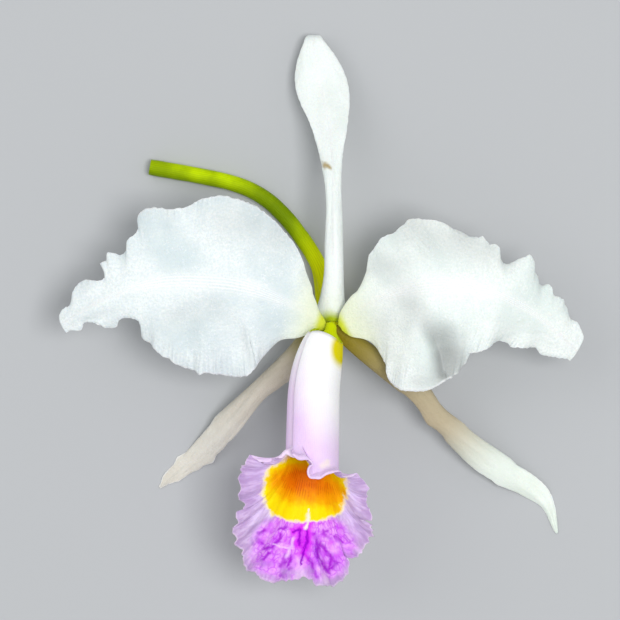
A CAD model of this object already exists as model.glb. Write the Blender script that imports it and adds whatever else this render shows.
# %% [markdown]
# # A cattleya orchid bloom, dressed for the table
#
# One white cattleya lies face up on a table. It has three narrow sepals behind two broad petals,
# and in front of them a lilac lip that is furled into a tube and flares into a frilled lobe with
# an orange throat. A green stalk curves away behind it.
#
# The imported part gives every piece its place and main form. Here each piece gets a finer skin
# that follows the same form, with thin torn margins, folds, creases and ribs, and a surface of
# living tissue. We work in millimetres from the heart of the flower, where its parts meet, and
# turn them into Blender's metres in one place only.

import bpy
import numpy as np
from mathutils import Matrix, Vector


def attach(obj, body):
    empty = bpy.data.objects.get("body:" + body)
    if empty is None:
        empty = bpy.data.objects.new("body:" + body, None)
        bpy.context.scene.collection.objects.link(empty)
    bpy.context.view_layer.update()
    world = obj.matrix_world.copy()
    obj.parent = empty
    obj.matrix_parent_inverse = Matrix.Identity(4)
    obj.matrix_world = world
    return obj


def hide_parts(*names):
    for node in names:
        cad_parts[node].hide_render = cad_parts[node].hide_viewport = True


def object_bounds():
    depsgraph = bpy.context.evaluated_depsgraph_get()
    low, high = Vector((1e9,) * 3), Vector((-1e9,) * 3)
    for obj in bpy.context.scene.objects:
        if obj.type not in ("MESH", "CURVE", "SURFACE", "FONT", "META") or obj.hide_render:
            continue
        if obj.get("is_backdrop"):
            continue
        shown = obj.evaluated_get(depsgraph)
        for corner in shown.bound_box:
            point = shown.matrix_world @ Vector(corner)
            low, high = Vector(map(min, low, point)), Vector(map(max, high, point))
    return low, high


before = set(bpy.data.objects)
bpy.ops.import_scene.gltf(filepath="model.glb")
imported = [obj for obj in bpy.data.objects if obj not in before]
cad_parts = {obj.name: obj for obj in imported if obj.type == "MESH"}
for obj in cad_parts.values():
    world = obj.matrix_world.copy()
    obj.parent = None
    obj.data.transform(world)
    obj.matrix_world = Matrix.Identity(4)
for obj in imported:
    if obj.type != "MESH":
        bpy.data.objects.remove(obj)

cad_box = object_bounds()
print("packed part:", sorted(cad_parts))

# %% Units and the heart's place
MM = 0.001
HEART = np.array([2.629, -4.755, 0.0])  # the heart in the part's frame; heights start at the table
BODY = "root"


def to_frame(points):
    """Points in millimetres from the heart, as metres in the part's frame."""
    return (np.asarray(points) + HEART) * MM


print("heart of the flower, in metres:", to_frame([0, 0, 0]))

# %% [markdown]
# ## Smooth curves from few points
#
# A petal's outline can be drawn with a few points and a smooth curve through them. Blender has
# curve objects for that, but we need the curve's numbers for whole grids of vertices at once, so
# a Catmull-Rom spline in numpy is simpler. The part's own blades are lofted over the same kind
# of curve, and so the finer skins lie close to the solids.

# %% Soft rises and smooth curves


def smoothstep(x, low, high):
    """0 below low, 1 above high, and a soft rise between them."""
    share = np.clip((x - low) / (high - low), 0, 1)
    return share * share * (3 - 2 * share)


def hump(x, place, half_width):
    """A soft hump of height 1 at place, half as high one half_width away."""
    return 2.0 ** -(((x - place) / half_width) ** 2)


def between(before, start, stop, after, w):
    """The smooth value at share w between start and stop, with their neighbours' slopes."""
    leave, arrive = (stop - before) / 2, (after - start) / 2
    rise = stop - start
    bend, swing = 3 * rise - 2 * leave - arrive, leave + arrive - 2 * rise
    return start + leave * w + bend * w**2 + swing * w**3


def spline(points, places):
    """A smooth curve through evenly spaced points, read at places from 0 to 1."""
    points = np.asarray(points, float)
    points = points.reshape(len(points), -1)
    padded = np.vstack([2 * points[0] - points[1], points, 2 * points[-1] - points[-2]])
    at = np.clip(places, 0, 1) * (len(points) - 1)
    i = np.minimum(at.astype(int), len(points) - 2)
    return between(*(padded[i + k] for k in range(4)), (at - i)[:, None])


def graph(values, places):
    """One smooth value at each place, through evenly spaced values."""
    return spline(values, places)[:, 0]


print("a smooth graph through 0, 1, 0:", graph([0, 1, 0], np.linspace(0, 1, 5)).round(2))

# %% Even steps along a curve
FINE = np.linspace(0, 1, 3001)


def even_path(points, shares):
    """The same curve, read at even shares of its length."""
    path = spline(points, FINE)
    steps = np.linalg.norm(np.diff(path, axis=0), axis=1)
    walked = np.append(0, np.cumsum(steps))
    return spline(points, np.interp(shares * walked[-1], walked, FINE))


print("halfway along a bent line:", even_path([(0, 0), (1, 0), (1, 3)], np.array([0.5])).round(2)[0])

# %% [markdown]
# ## Irregular, and still the same every time
#
# Nothing on a living flower is evenly spaced. Noise makes it so, but the script has to give the
# same flower on each run. So each random draw comes from a generator with a fixed seed, and a
# smooth graph runs through the drawn values.

# %% Seeded noise along a line and over a blade


def noise_line(seed, knots, places):
    """Smooth noise between about -1 and 1 along a line."""
    return graph(np.random.default_rng(seed).uniform(-1, 1, knots), places)


def cusps(seed, knots, places):
    """Uneven pointed teeth with rounded bays between them, around zero."""
    return 0.5 - 1.6 * np.abs(noise_line(seed, knots, places))


def noise_sheet(seed, knots, rows, columns):
    """Smooth noise between about -1 and 1 over a grid of rows and columns, both from 0 to 1."""
    values = np.random.default_rng(seed).uniform(-1, 1, knots)
    return spline(spline(values, rows).T, columns).T


print("noise:", noise_line(1, 6, np.linspace(0, 1, 4)).round(2))

# %% [markdown]
# ## A blade of living tissue
#
# Petals, sepals and lip are blades: two skins with a little juice between them. Blender's
# Solidify modifier could thicken a sheet, but a real blade is thick at its claw and thins to
# almost nothing at its margin, so we place both skins ourselves. Each vertex keeps its place on
# the blade in a UV map named blade, and a number that tells the upper skin from the lower one.
# The materials read both. Every piece then rides on the one body and stands for its CAD node.

# %% The normals, the border and the faces of a grid


def grid_normals(sheet):
    """Unit normals of a grid of points."""
    along = np.gradient(sheet, axis=0)
    across = np.gradient(sheet, axis=1)
    normals = np.cross(along, across)
    return normals / np.linalg.norm(normals, axis=2, keepdims=True)


def border_of(rows, columns):
    """Indices of a grid's border, once round."""
    grid = np.arange(rows * columns).reshape(rows, columns)
    return np.concatenate([grid[:-1, 0], grid[-1, :-1], grid[:0:-1, -1], grid[0, :0:-1]])


def skin_faces(rows, columns):
    """Four-sided faces of a grid."""
    grid = np.arange(rows * columns).reshape(rows, columns)
    corners = [grid[:-1, :-1], grid[1:, :-1], grid[1:, 1:], grid[:-1, 1:]]
    return np.stack([c.ravel() for c in corners], axis=1)


print("a grid of 3 by 4 points has", len(skin_faces(3, 4)), "faces and a border of",
      len(border_of(3, 4)), "points")

# %% A mesh that keeps places and marks, and what it stands for


def closed_up(mesh, corners):
    """The corners' UV places, with a face that steps from 1 back to 0 round a ring mended."""
    sizes = np.empty(len(mesh.polygons), np.int32)
    mesh.polygons.foreach_get("loop_total", sizes)
    face = np.repeat(np.arange(len(sizes)), sizes)
    highest = np.zeros(len(sizes))
    np.maximum.at(highest, face, corners[:, 1])
    corners[:, 1] += highest[face] - corners[:, 1] > 0.5
    return corners


def mesh_piece(name, points, faces, uv=None, marks=None):
    """A smooth-shaded object from points in millimetres, with a UV and marks for each point."""
    mesh = bpy.data.meshes.new(name)
    mesh.from_pydata(to_frame(points).tolist(), [], [tuple(map(int, face)) for face in faces])
    mesh.polygons.foreach_set("use_smooth", [True] * len(mesh.polygons))
    if uv is not None:
        corner_points = np.empty(len(mesh.loops), np.int32)
        mesh.loops.foreach_get("vertex_index", corner_points)
        layer = mesh.uv_layers.new(name="blade")
        layer.data.foreach_set("uv", closed_up(mesh, np.asarray(uv)[corner_points]).ravel())
    for mark, values in (marks or {}).items():
        attribute = mesh.attributes.new(mark, "FLOAT", "POINT")
        attribute.data.foreach_set("value", np.asarray(values, np.float32).ravel())
    mesh.update()
    piece = bpy.data.objects.new(name, mesh)
    bpy.context.scene.collection.objects.link(piece)
    return piece


def stand_for(piece, node):
    """Lets a piece ride on the body, stand for its CAD node and take its finish from a slot."""
    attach(piece, BODY)
    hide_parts(node)
    print(piece.name, "stands for", node, "with", len(piece.data.polygons), "faces")
    return piece


print("pieces ride on", BODY)

# %% A closed blade round a grid
TABLE_TOUCH = 0.3  # what comes this close to the table, in mm, lies flat on it
LOWEST = 0.22  # a blade's middle surface stays this far above the table


def blade_piece(name, sheet, thickness, uv, marks=None):
    """A closed blade round a grid of points. Its upper skin is the side of the grid's normals."""
    rows, columns, _ = sheet.shape
    sheet[..., 2] = np.maximum(sheet[..., 2], LOWEST)
    offset = grid_normals(sheet) * thickness[..., None] / 2
    skins = np.concatenate([(sheet + offset).reshape(-1, 3), (sheet - offset).reshape(-1, 3)])
    skins[skins[:, 2] < TABLE_TOUCH, 2] = 0
    upper = skin_faces(rows, columns)
    lower = upper[:, ::-1] + rows * columns
    edge = border_of(rows, columns)
    next_edge = np.roll(edge, -1)
    rim = np.stack([next_edge, edge, edge + rows * columns, next_edge + rows * columns], axis=1)
    both = {mark: np.tile(values.ravel(), 2) for mark, values in (marks or {}).items()}
    both["upper_side"] = np.repeat([1.0, 0.0], rows * columns)
    faces = np.concatenate([upper, lower, rim])
    return mesh_piece(name, skins, faces, np.tile(uv.reshape(-1, 2), (2, 1)), both)


print("blades lie flat on the table below", TABLE_TOUCH, "mm")


# %% [markdown]
# ## Petals and sepals
#
# A petal is held by its claw, a narrow thick foot, and spreads into a blade that sags a little
# to both sides of its midrib. We draw three rails in plan, the two margins and the midrib, and
# say how high the midrib runs and how far the margins fall back. The solid has rails like these,
# with fewer points.
# A margin's folds and ruffles lift it here and there. The edge itself is torn and toothed, and no
# noise gives the real notches, so their corners are listed, and they pull the smooth margin to
# themselves. These lists are what makes two petals of one flower differ.

# %% The left petal's form
PETAL_LEFT = {
    "upper": [(-1.5, 0.6), (-3.8, 3.2), (-4.9, 7), (-6.6, 12), (-10.8, 23), (-18.8, 31.6),
              (-29.9, 36.1), (-41.5, 33.5), (-48.6, 32.7), (-52.6, 32.1), (-54.9, 30.1),
              (-55.4, 26.7), (-57.7, 23.9), (-58.5, 20.8), (-62.2, 19.3), (-63.7, 16.8),
              (-63.7, 13.9), (-65.9, 12.2), (-70.2, 12.2), (-73, 9.7), (-74.2, 6), (-76.4, 4.3),
              (-77.6, 2.3)],
    "middle": [(-1.8, -0.7), (-5.4, 2.2), (-11.7, 5.7), (-22.7, 10), (-33.5, 11.7), (-44.3, 12.2),
               (-55.1, 10.5), (-66.2, 6), (-77.2, 0)],
    "lower": [(-2.1, -2), (-5.8, -2.5), (-9.8, -3.9), (-14.8, -4.8), (-19.4, -9.4), (-23.9, -14.8),
              (-31.3, -14.5), (-38.2, -13.4), (-45.8, -10.5), (-51.3, -5.4), (-53.5, -3.7),
              (-54.4, 0.3), (-57.5, 1.9), (-60.4, 1.3), (-61.2, -0.6), (-63.8, -1.4), (-68.1, 0.4),
              (-70.3, 0.3), (-71.8, -1.7), (-75.5, -2.6)],
    "height": [25.2, 29, 32.3, 33.5, 33, 31.5, 28.5, 23.5],
    "tilt": [0, 1, 1.5, 1, 0.5, 0, 0, 0],
    "arch": [25, 22, 18, 18, 20, 22, 20, 10],
    "upper_margin": {
        "folds": [(0.5, 0.05, 1.6), (0.6, 0.04, -1.2)],
        "ruffles": [(7.3, 0.1, 0.8), (12.7, 0.4, 0.35)],
    },
    "lower_margin": {
        "folds": [(0.3, 0.035, 2.4), (0.37, 0.03, -1.6)],
        "ruffles": [(6.1, 0.7, 0.8), (11.3, 0.2, 0.35)],
    },
    "creases": [((-27, 3), (-26, -12), 3, 0.8), ((-43, 3), (-40, -9), 3.5, 0.6)],
    "folds": [([(-51.3, -3.1), (-43, 2), (-35.8, 4)], 1.1, 4, 4)],
}
print("left petal, length in plan:", round(float(np.hypot(*PETAL_LEFT["middle"][-1])), 1), "mm")

# %% The right petal's form
PETAL_RIGHT = {
    "upper": [(2, 0.5), (3.2, 3.3), (5.1, 6.6), (8.1, 10.8), (10.8, 17.1), (14.5, 23.3),
              (17.9, 26.4), (21.9, 29.6), (28.1, 29.8), (37.8, 25.9), (42.3, 24.4), (47.1, 22.5),
              (48.3, 18.8), (50.8, 17.1), (56.5, 19.6), (58.2, 14.8), (59.6, 11.1), (62.5, 11.1),
              (63.9, 8.3), (66.5, 6.8), (68.5, 1.7), (70.7, 0), (72.4, -4.5)],
    "middle": [(2.9, -0.9), (5.6, 2.2), (9.6, 5.1), (17, 8.5), (27.2, 10.8), (37.4, 10.5),
               (47.7, 8.2), (57.6, 3.1), (65, -2.8), (70.7, -7.9)],
    "lower": [(3.9, -2.6), (6.6, -3.5), (9.6, -4.2), (12.3, -5.8), (14.8, -9.7), (16.2, -14.2),
              (19.1, -17.7), (24.2, -18.8), (28.8, -18.5), (32.8, -16.2), (36.4, -13.6),
              (38.9, -11.1), (40.3, -9.2), (43.2, -7.5), (47.3, -4.8), (50.2, -5.1), (52.2, -6.6),
              (58.7, -6.6), (60.1, -8.5), (63, -9.7), (68.7, -10.5)],
    "height": [25.2, 28.6, 31.6, 33, 32.5, 31, 28, 24.5, 20],
    "tilt": [0, 1, 1, 0.5, 0, 0, 0, 0, 0],
    "arch": [25, 22, 18, 16, 18, 22, 24, 18, 10],
    "upper_margin": {
        "folds": [(0.42, 0.04, 1.2), (0.6, 0.04, 1.4), (0.68, 0.03, -1)],
        "ruffles": [(6.7, 0.5, 0.8), (13.1, 0.3, 0.35)],
    },
    "lower_margin": {
        "folds": [(0.44, 0.06, 2.4), (0.55, 0.03, -2.2), (0.66, 0.04, 2)],
        "ruffles": [(6.3, 0.2, 0.7), (12.1, 0.6, 0.3)],
    },
    "creases": [((24, 6), (26.5, -17), 4, -1.8)],
    "folds": [([(23.8, 2.9), (29.5, -3.7), (31.4, -9.3), (32.3, -13.3)], 4.5, 4.6, 2.0)],
}
print("right petal, length in plan:", round(float(np.hypot(*PETAL_RIGHT["middle"][-1])), 1), "mm")

# %% The corners of the petals' edges
# corners of the torn and toothed edges, from the claw to the tip
PETAL_LEFT_EDGES = {
    "upper": [
        (-5.5, 10.4), (-7.3, 15.2), (-7.8, 17.4), (-10.1, 22.3), (-14, 27.1), (-16.6, 29.9),
        (-21.2, 33.4), (-22.6, 34.1), (-27.2, 35.7), (-30, 36.3), (-33.1, 36.3), (-37.1, 35.3),
        (-39.4, 34.1), (-42.5, 33), (-46.2, 32.7), (-50.4, 33.3), (-54.3, 31.9), (-54.9, 30.8),
        (-54.9, 28.6), (-55.8, 25.4), (-57.9, 23.7), (-58, 21.2), (-58.7, 20.2), (-59.5, 19.7),
        (-60.4, 19.6), (-63.5, 20.6), (-63.7, 20.3), (-63.8, 18.2), (-64.1, 18), (-64.9, 17.9),
        (-65.8, 17.2), (-65.7, 16.9), (-63.8, 16.4), (-63.4, 15.8), (-63.5, 14.6), (-64.7, 12.9),
        (-65.2, 12.5), (-66.1, 12.3), (-70.3, 12.4), (-72, 11.5), (-73.6, 9.5), (-74.3, 5.8), (-75.2, 5),
        (-76.6, 4.4), (-77.3, 3.3),
    ],
    "lower": [
        (-37.4, -14.5), (-38.8, -13.2), (-41.6, -12.5), (-45.3, -10.8), (-45.9, -10), (-46.8, -9.8),
        (-48.2, -9), (-50.4, -6.9), (-51.4, -5.2), (-53, -4.9), (-53.7, -3.8), (-53.8, -1.8),
        (-54.4, 0.4), (-56.1, 1.5), (-57.8, 1.7), (-59.5, 1.5), (-60.3, 1), (-61, -0.6), (-63.5, -1.2),
        (-67.2, 0.3), (-69.8, 0.5), (-70.3, 0.2), (-71, -1.3), (-71.8, -1.8), (-74.6, -1.7),
        (-75.7, -2.6),
    ],
}
PETAL_RIGHT_EDGES = {
    "upper": [
        (7.7, 9.2), (10.2, 15.2), (10.8, 19.8), (11.9, 20.9), (14.1, 24.3), (15.2, 25), (17.7, 25.9),
        (19.4, 27.5), (20.9, 28.3), (21.4, 29.2), (22.3, 29.8), (26, 29.8), (29.4, 29.5), (32.8, 28.3),
        (34.8, 27), (36.2, 26.6), (39, 25.1), (41.9, 24.6), (43, 25), (45, 22.6), (47.3, 22.4),
        (47.9, 21.5), (48.5, 17.8), (49, 17.3), (51.3, 17.4), (53.5, 18.5), (55.5, 19.1), (56.7, 19.9),
        (58.1, 16.9), (58, 15.2), (59, 13.5), (59.4, 11.5), (59.8, 11.2), (61.8, 11.3), (62.6, 11),
        (63.1, 10.4), (63.3, 9), (63.8, 8.2), (65.2, 8), (65.8, 7.4), (66.5, 7.3), (66.7, 5.8),
        (67.6, 4.4), (68, 2.4), (68.6, 1.6), (70.3, 0.7), (72.4, -3.3),
    ],
    "lower": [
        (14, -8.4), (15.1, -10.6), (15.8, -11.8), (15.8, -14.3), (16.2, -15.5), (19, -18.3),
        (19.7, -18.8), (23.8, -19.2), (27.1, -18.9), (30.2, -17.5), (32.5, -16), (34.2, -15.5),
        (34.8, -14.6), (35.6, -14.4), (36.1, -14.1), (36.6, -12.9), (38.6, -10.9), (38.6, -10.6),
        (37, -8.7), (37.3, -7.7), (37.9, -7.7), (39.3, -8.5), (41.3, -8.2), (44.9, -6.7), (45.6, -6.1),
        (45.9, -5.5), (47.6, -4.9), (48.7, -4.9), (51.8, -6.8), (53.3, -6.7), (54.7, -7), (58.1, -6.6),
        (58.8, -7.5), (59.8, -8.4), (61.2, -9), (64.1, -9.4), (64.9, -9.8), (67.7, -10), (68.3, -10.5),
    ],
}
for edges in (PETAL_LEFT_EDGES, PETAL_RIGHT_EDGES):
    print("a petal's edges have", sum(map(len, edges.values())), "corners")

# %% The forms of the three sepals
DORSAL_SEPAL = {
    "upper": [(-1.9, 0.9), (-3.6, 3.2), (-2.5, 8.6), (-1.6, 15), (-1.5, 22.6), (-1.2, 34.3),
              (-2.6, 45.5), (-5.7, 56.9), (-9.1, 64.7), (-10.4, 70.3), (-9.8, 76), (-7.8, 82),
              (-5.6, 88.6), (-4.8, 93)],
    "middle": [(0.4, 0.9), (0.6, 5.5), (0.9, 12.6), (0.8, 26.9), (0.7, 38.3), (0.3, 48.3),
               (-0.6, 57.8), (-2.2, 66.4), (-4, 74.1), (-5, 82), (-4.4, 93)],
    "lower": [(2.8, 0.9), (3.6, 3.4), (3.4, 8.6), (3.3, 15), (3.1, 28.6), (2.9, 40.3), (3.5, 49.2),
              (4.7, 56.1), (5.5, 64.7), (4.6, 71.4), (1.6, 77.6), (-2.2, 83), (-3.6, 88.6),
              (-4, 93)],
    "height": [21.9, 24, 25, 24.6, 23, 20.4, 16.8, 12.4, 8.6, 6.8, 6.4, 6.4],
    "tilt": [0, 0],
    "arch": [60, 100, 104, 96, 60, 24, 18, 20, 14, 6, 4],
    "roll": {"from": 80.8, "radius": 3},
    "upper_margin": {"folds": [], "ruffles": [(3.2, 0.1, 0.35)]},
    "lower_margin": {"folds": [], "ruffles": [(2.7, 0.5, 0.35)]},
}
SEPAL_LEFT = {
    "upper": [(-3, -1.2), (-9.2, -3.8), (-13.6, -8.6), (-22.4, -17.2), (-31.2, -25.1),
              (-36.9, -31.5), (-42, -37), (-46.2, -41.7), (-50.1, -47.8)],
    "middle": [(-2.4, -2), (-9.4, -8.4), (-14.9, -13.6), (-21.6, -20), (-29, -28.2),
               (-34.4, -34.2), (-39.4, -39.2), (-44.4, -43.4), (-50, -47.95)],
    "lower": [(-1.6, -2.8), (-8.9, -13.4), (-14.4, -18), (-19.8, -22.2), (-26.2, -30.7),
              (-31.1, -36.2), (-36.3, -40.8), (-42.4, -44.6), (-49.9, -48.1)],
    "height": [21.9, 21, 19, 16.2, 12.8, 9, 5.2, 2, 0.5, 0.4],
    "tilt": [0, 0],
    "arch": [40, 70, 84, 84, 74, 60, 44, 26, 6],
    "upper_margin": {"folds": [], "ruffles": [(3.1, 0.3, 0.4)]},
    "lower_margin": {"folds": [], "ruffles": [(2.6, 0.8, 0.4)]},
}
SEPAL_RIGHT = {
    "upper": [(2, 0.2), (11.9, -6.1), (20, -12.2), (29.2, -19.4), (34.1, -25.4), (41.9, -32.1),
              (52.9, -39.6), (62.1, -47.1), (65.6, -54.3), (66.4, -60.6)],
    "middle": [(1.3, -1.1), (10, -8), (17.4, -13.8), (26.2, -20.8), (31, -27), (37.8, -33),
               (47.6, -40.8), (57.2, -47.4), (63.4, -53.8), (66.3, -61.4)],
    "lower": [(0.6, -2.4), (6.8, -8.8), (14, -14.8), (23.2, -22.4), (27.8, -29), (33.3, -33.9),
              (42, -42), (52.1, -48), (61.4, -53.5), (65.6, -60.8)],
    "height": [21.9, 21.4, 20, 18, 15.6, 12.8, 9.6, 6, 2.6, 0.6, 0.4],
    "tilt": [0, 0],
    "arch": [40, 70, 84, 80, 66, 60, 48, 36, 20, 6],
    "upper_margin": {"folds": [], "ruffles": [(3.3, 0.6, 0.5)]},
    "lower_margin": {"folds": [], "ruffles": [(2.9, 0.2, 0.5)]},
}
# corners of the uneven edges of the two lateral sepals, from the foot to the tip
SEPAL_LEFT_EDGES = {
    "upper": [(-31.5, -25.3), (-33.5, -27.1), (-35.2, -29.7), (-41.2, -36.5), (-42.7, -37.9),
              (-44.9, -38.9), (-45.9, -41.2), (-48.3, -43.6), (-49.1, -44.7), (-50.1, -47.8)],
    "lower": [(-30, -34.7), (-31.1, -36.2), (-33.5, -38.5), (-34.1, -40.3), (-34.5, -40.7),
              (-37.1, -41.5), (-38.6, -42.8), (-40.9, -43.6), (-44.5, -46.2), (-47.4, -46.9),
              (-49.9, -48.1)],
}
SEPAL_RIGHT_EDGES = {
    "upper": [(29.6, -20.7), (30.6, -22.7), (33.8, -25.5), (38.7, -28.9), (39.9, -30.4),
              (41.8, -32), (53.1, -39.9), (54.3, -41.3), (58.2, -43.4), (63.3, -47.9),
              (65.1, -51.2), (66.1, -55.3)],
    "lower": [(21.3, -19.9), (26.3, -25.6), (28, -29), (30.9, -30.2), (32.4, -31.8), (33.3, -33.9),
              (42.2, -42.5), (46.7, -45.4), (48.5, -47), (53.8, -49), (59.1, -51.9), (61.5, -53.5)],
}
print("sepal reach:", DORSAL_SEPAL["middle"][-2], SEPAL_LEFT["middle"][-1], SEPAL_RIGHT["middle"][-1])

# %% [markdown]
# ### Margins
#
# A margin does two things that its rail doesn't say. It lifts and dips in ruffles and folds,
# and its edge is torn. A torn edge could be cut out of a wider blade with a Boolean modifier, but
# that leaves ragged faces. We slide the grid's outer points to the corners instead, so the mesh
# stays clean.

# %% Lifted margins and torn edges
CORNER_PACE = 0.3  # least share of the way between two corners that the margin moves on
EDGE_FADE = 1.5  # mm of margin over which the first and the last corner let go


def margin_lift(margin, t):
    """How far a margin's ruffles and folds lift it."""
    waves, folds = np.zeros_like(t), np.zeros_like(t)
    for count, phase, size in margin["ruffles"]:
        waves = waves + size * np.sin(2 * np.pi * (count * t + phase))
    for place, half_width, lift in margin["folds"]:
        folds = folds + lift * hump(t, place, half_width)
    return waves * smoothstep(t, 0.04, 0.3) * (1 - smoothstep(t, 0.88, 1)) + folds


def edge_shift(path, places, corners, at):
    """How far a smooth margin moves, at its places at, to lie on a jagged edge through corners."""
    corners = np.array(corners, float)
    walked = np.append(0, np.cumsum(np.linalg.norm(np.diff(path, axis=0), axis=1)))
    stops = np.array([walked[np.linalg.norm(path - corner, axis=1).argmin()] for corner in corners])
    for k, step in enumerate(np.linalg.norm(np.diff(corners, axis=0), axis=1), start=1):
        stops[k] = max(stops[k], stops[k - 1] + CORNER_PACE * step)
    smooth = np.column_stack([np.interp(stops, walked, path[:, k]) for k in (0, 1)])
    shifts = np.vstack([[0, 0], corners - smooth, [0, 0]])
    stops = np.concatenate([[stops[0] - EDGE_FADE], stops, [stops[-1] + EDGE_FADE]])
    asked = np.interp(at, places, walked)
    return np.column_stack([np.interp(asked, stops, shifts[:, k]) for k in (0, 1)])


for margin_name in ("upper_margin", "lower_margin"):
    halfway = margin_lift(PETAL_LEFT[margin_name], np.array([0.5]))[0]
    print("left petal,", margin_name, "lifted halfway along by", round(halfway, 2), "mm")

# %% [markdown]
# ### Folds, creases and a rolled tip
#
# A fold is a valley along a bent line, with a steep and a gentle side. A crease is a short
# straight one. The dorsal sepal's tip curls back under itself. A sculpting brush would do all
# three, but a rule that is written down gives the same flower each time, and the same line can
# tell the material where the blade is hollow.

# %% Distances to a line, and what they press into a sheet


def beside(sheet, line):
    """How far points lie to the left of a bent line in plan, and how far along it from 0 to 1."""
    nearest = np.full(sheet.shape[:2], np.inf)
    side, along = np.zeros_like(nearest), np.zeros_like(nearest)
    for k in range(len(line) - 1):
        start, step = np.array(line[k]), np.subtract(line[k + 1], line[k])
        offset = sheet[..., :2] - start
        share = np.clip(offset @ step / (step @ step), 0, 1)
        away = np.linalg.norm(offset - share[..., None] * step, axis=2)
        turn = np.sign(step[0] * offset[..., 1] - step[1] * offset[..., 0])
        closer = away < nearest
        side = np.where(closer, turn * away, side)
        along = np.where(closer, (k + share) / (len(line) - 1), along)
        nearest = np.minimum(nearest, away)
    return side, along


def fold_share(sheet, line, left_width, right_width):
    """1 on a bent line, and falling off to both sides of it. It starts softly."""
    side, along = beside(sheet, line)
    width = np.where(side > 0, left_width, right_width)
    return np.exp(-((side / width) ** 2)) * smoothstep(along, 0, 0.45)


def add_crease(sheet, start, stop, width, depth):
    """Presses a soft valley, or with a negative depth a ridge, along a line in plan."""
    start, line = np.array(start), np.array(stop) - np.array(start)
    length = np.hypot(*line)
    offset = sheet[..., :2] - start
    share = offset @ line / length**2
    away = (offset[..., 0] * line[1] - offset[..., 1] * line[0]) / length
    fade = smoothstep(share, -0.15, 0.3) * (1 - smoothstep(share, 0.75, 1.1))
    sheet[..., 2] -= depth * fade * np.exp(-((away / width) ** 2))


def roll_under(sheet, start, radius):
    """Rolls what lies beyond start under itself, by half a turn and then straight back."""
    beyond = np.maximum(sheet[..., 1] - start, 0)
    turn = np.minimum(beyond / radius, np.pi)
    straight = beyond - turn * radius
    rolled = start + radius * np.sin(turn) + straight * np.cos(turn)
    sheet[..., 1] = np.where(beyond > 0, rolled, sheet[..., 1])
    sheet[..., 2] -= radius * (1 - np.cos(turn)) + straight * np.sin(turn)


print("1 mm left of a line:", beside(np.array([[[1.0, 1.0, 0.0]]]), [(0, 0), (2, 0)])[0][0, 0])

# %% [markdown]
# ### The sheet of a petal
#
# The sheet is the blade's middle surface, a grid with one row for each step from claw to tip.
# Across a row the margins fall back on an arc. Where the arc is more than a quarter turn they
# roll under, as they do on the stem-like foot of a sepal. Folds, creases and the fine relief come
# on top, in that order, and last the rolled tip.

# %% From rails to a sheet
FOOT_SHARE = 0.03  # share of a blade's length over which its foot is rounded


def tepal_sheet(form, rows, columns, roughen=None, edges=None):
    """The middle surface of a petal or sepal, with its shares along (t) and across (v)."""
    t, v = np.linspace(0, 1, rows), np.linspace(-1, 1, columns)
    upper, middle, lower = (even_path(form[key], t)[:, None, :] for key in ("upper", "middle", "lower"))
    height, tilt, arch = (graph(form[key], t)[:, None] for key in ("height", "tilt", "arch"))
    arch = np.radians(arch)
    reach = np.sin(np.minimum(arch, np.pi / 2))
    across = np.sin(arch * v) / reach
    foot = np.sqrt(1 - (1 - np.clip(t / FOOT_SHARE, 0.06, 1)) ** 2)
    half_span = (upper - lower) / 2 * foot[:, None, None]
    bow = (upper + lower) / 2 - middle
    plan = middle + half_span * across[..., None] + bow * (across**2)[..., None]
    width = np.linalg.norm(half_span, axis=2)
    z = height + tilt * across - width / reach * (1 - np.cos(arch * v))
    lifts = (margin_lift(form[key], t)[:, None] for key in ("upper_margin", "lower_margin"))
    z = z + np.abs(v) ** 3 * np.where(v > 0, *lifts)
    outward = half_span / width[..., None] * np.sign(v)[:, None]
    for sign, key in ((1, "upper"), (-1, "lower")) if edges else ():
        shift = edge_shift(even_path(form[key], FINE), FINE, edges[key], t)
        plan = plan + (np.clip(sign * v, 0, 1)[:, None] ** 4) * shift[:, None, :]
    sheet = np.dstack([plan, z])
    for line, depth, left_width, right_width in form.get("folds", []):
        sheet[..., 2] -= depth * fold_share(sheet, line, left_width, right_width)
    for crease in form.get("creases", []):
        add_crease(sheet, *crease)
    if roughen:
        roughen(sheet, t[:, None], v[None, :], outward)
    if "roll" in form:
        roll_under(sheet, form["roll"]["from"], form["roll"]["radius"])
    return sheet, t, v


check_sheet, _, _ = tepal_sheet(PETAL_LEFT, 30, 9)
print("left petal spans", np.ptp(check_sheet.reshape(-1, 3), axis=0).round(1), "mm")

# %% [markdown]
# ### Creases, crimps and teeth
#
# Close up a petal isn't smooth. Soft creases run over it where it was folded in the bud, its
# margin is crimped in many short pleats, and the edge between the notches has small uneven
# teeth. Low parallel ribs run along the middle. All of these have a real height of some tenths
# of a millimetre, so they are shaped in the mesh and not only in a bump.

# %% Relief on a sheet


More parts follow.
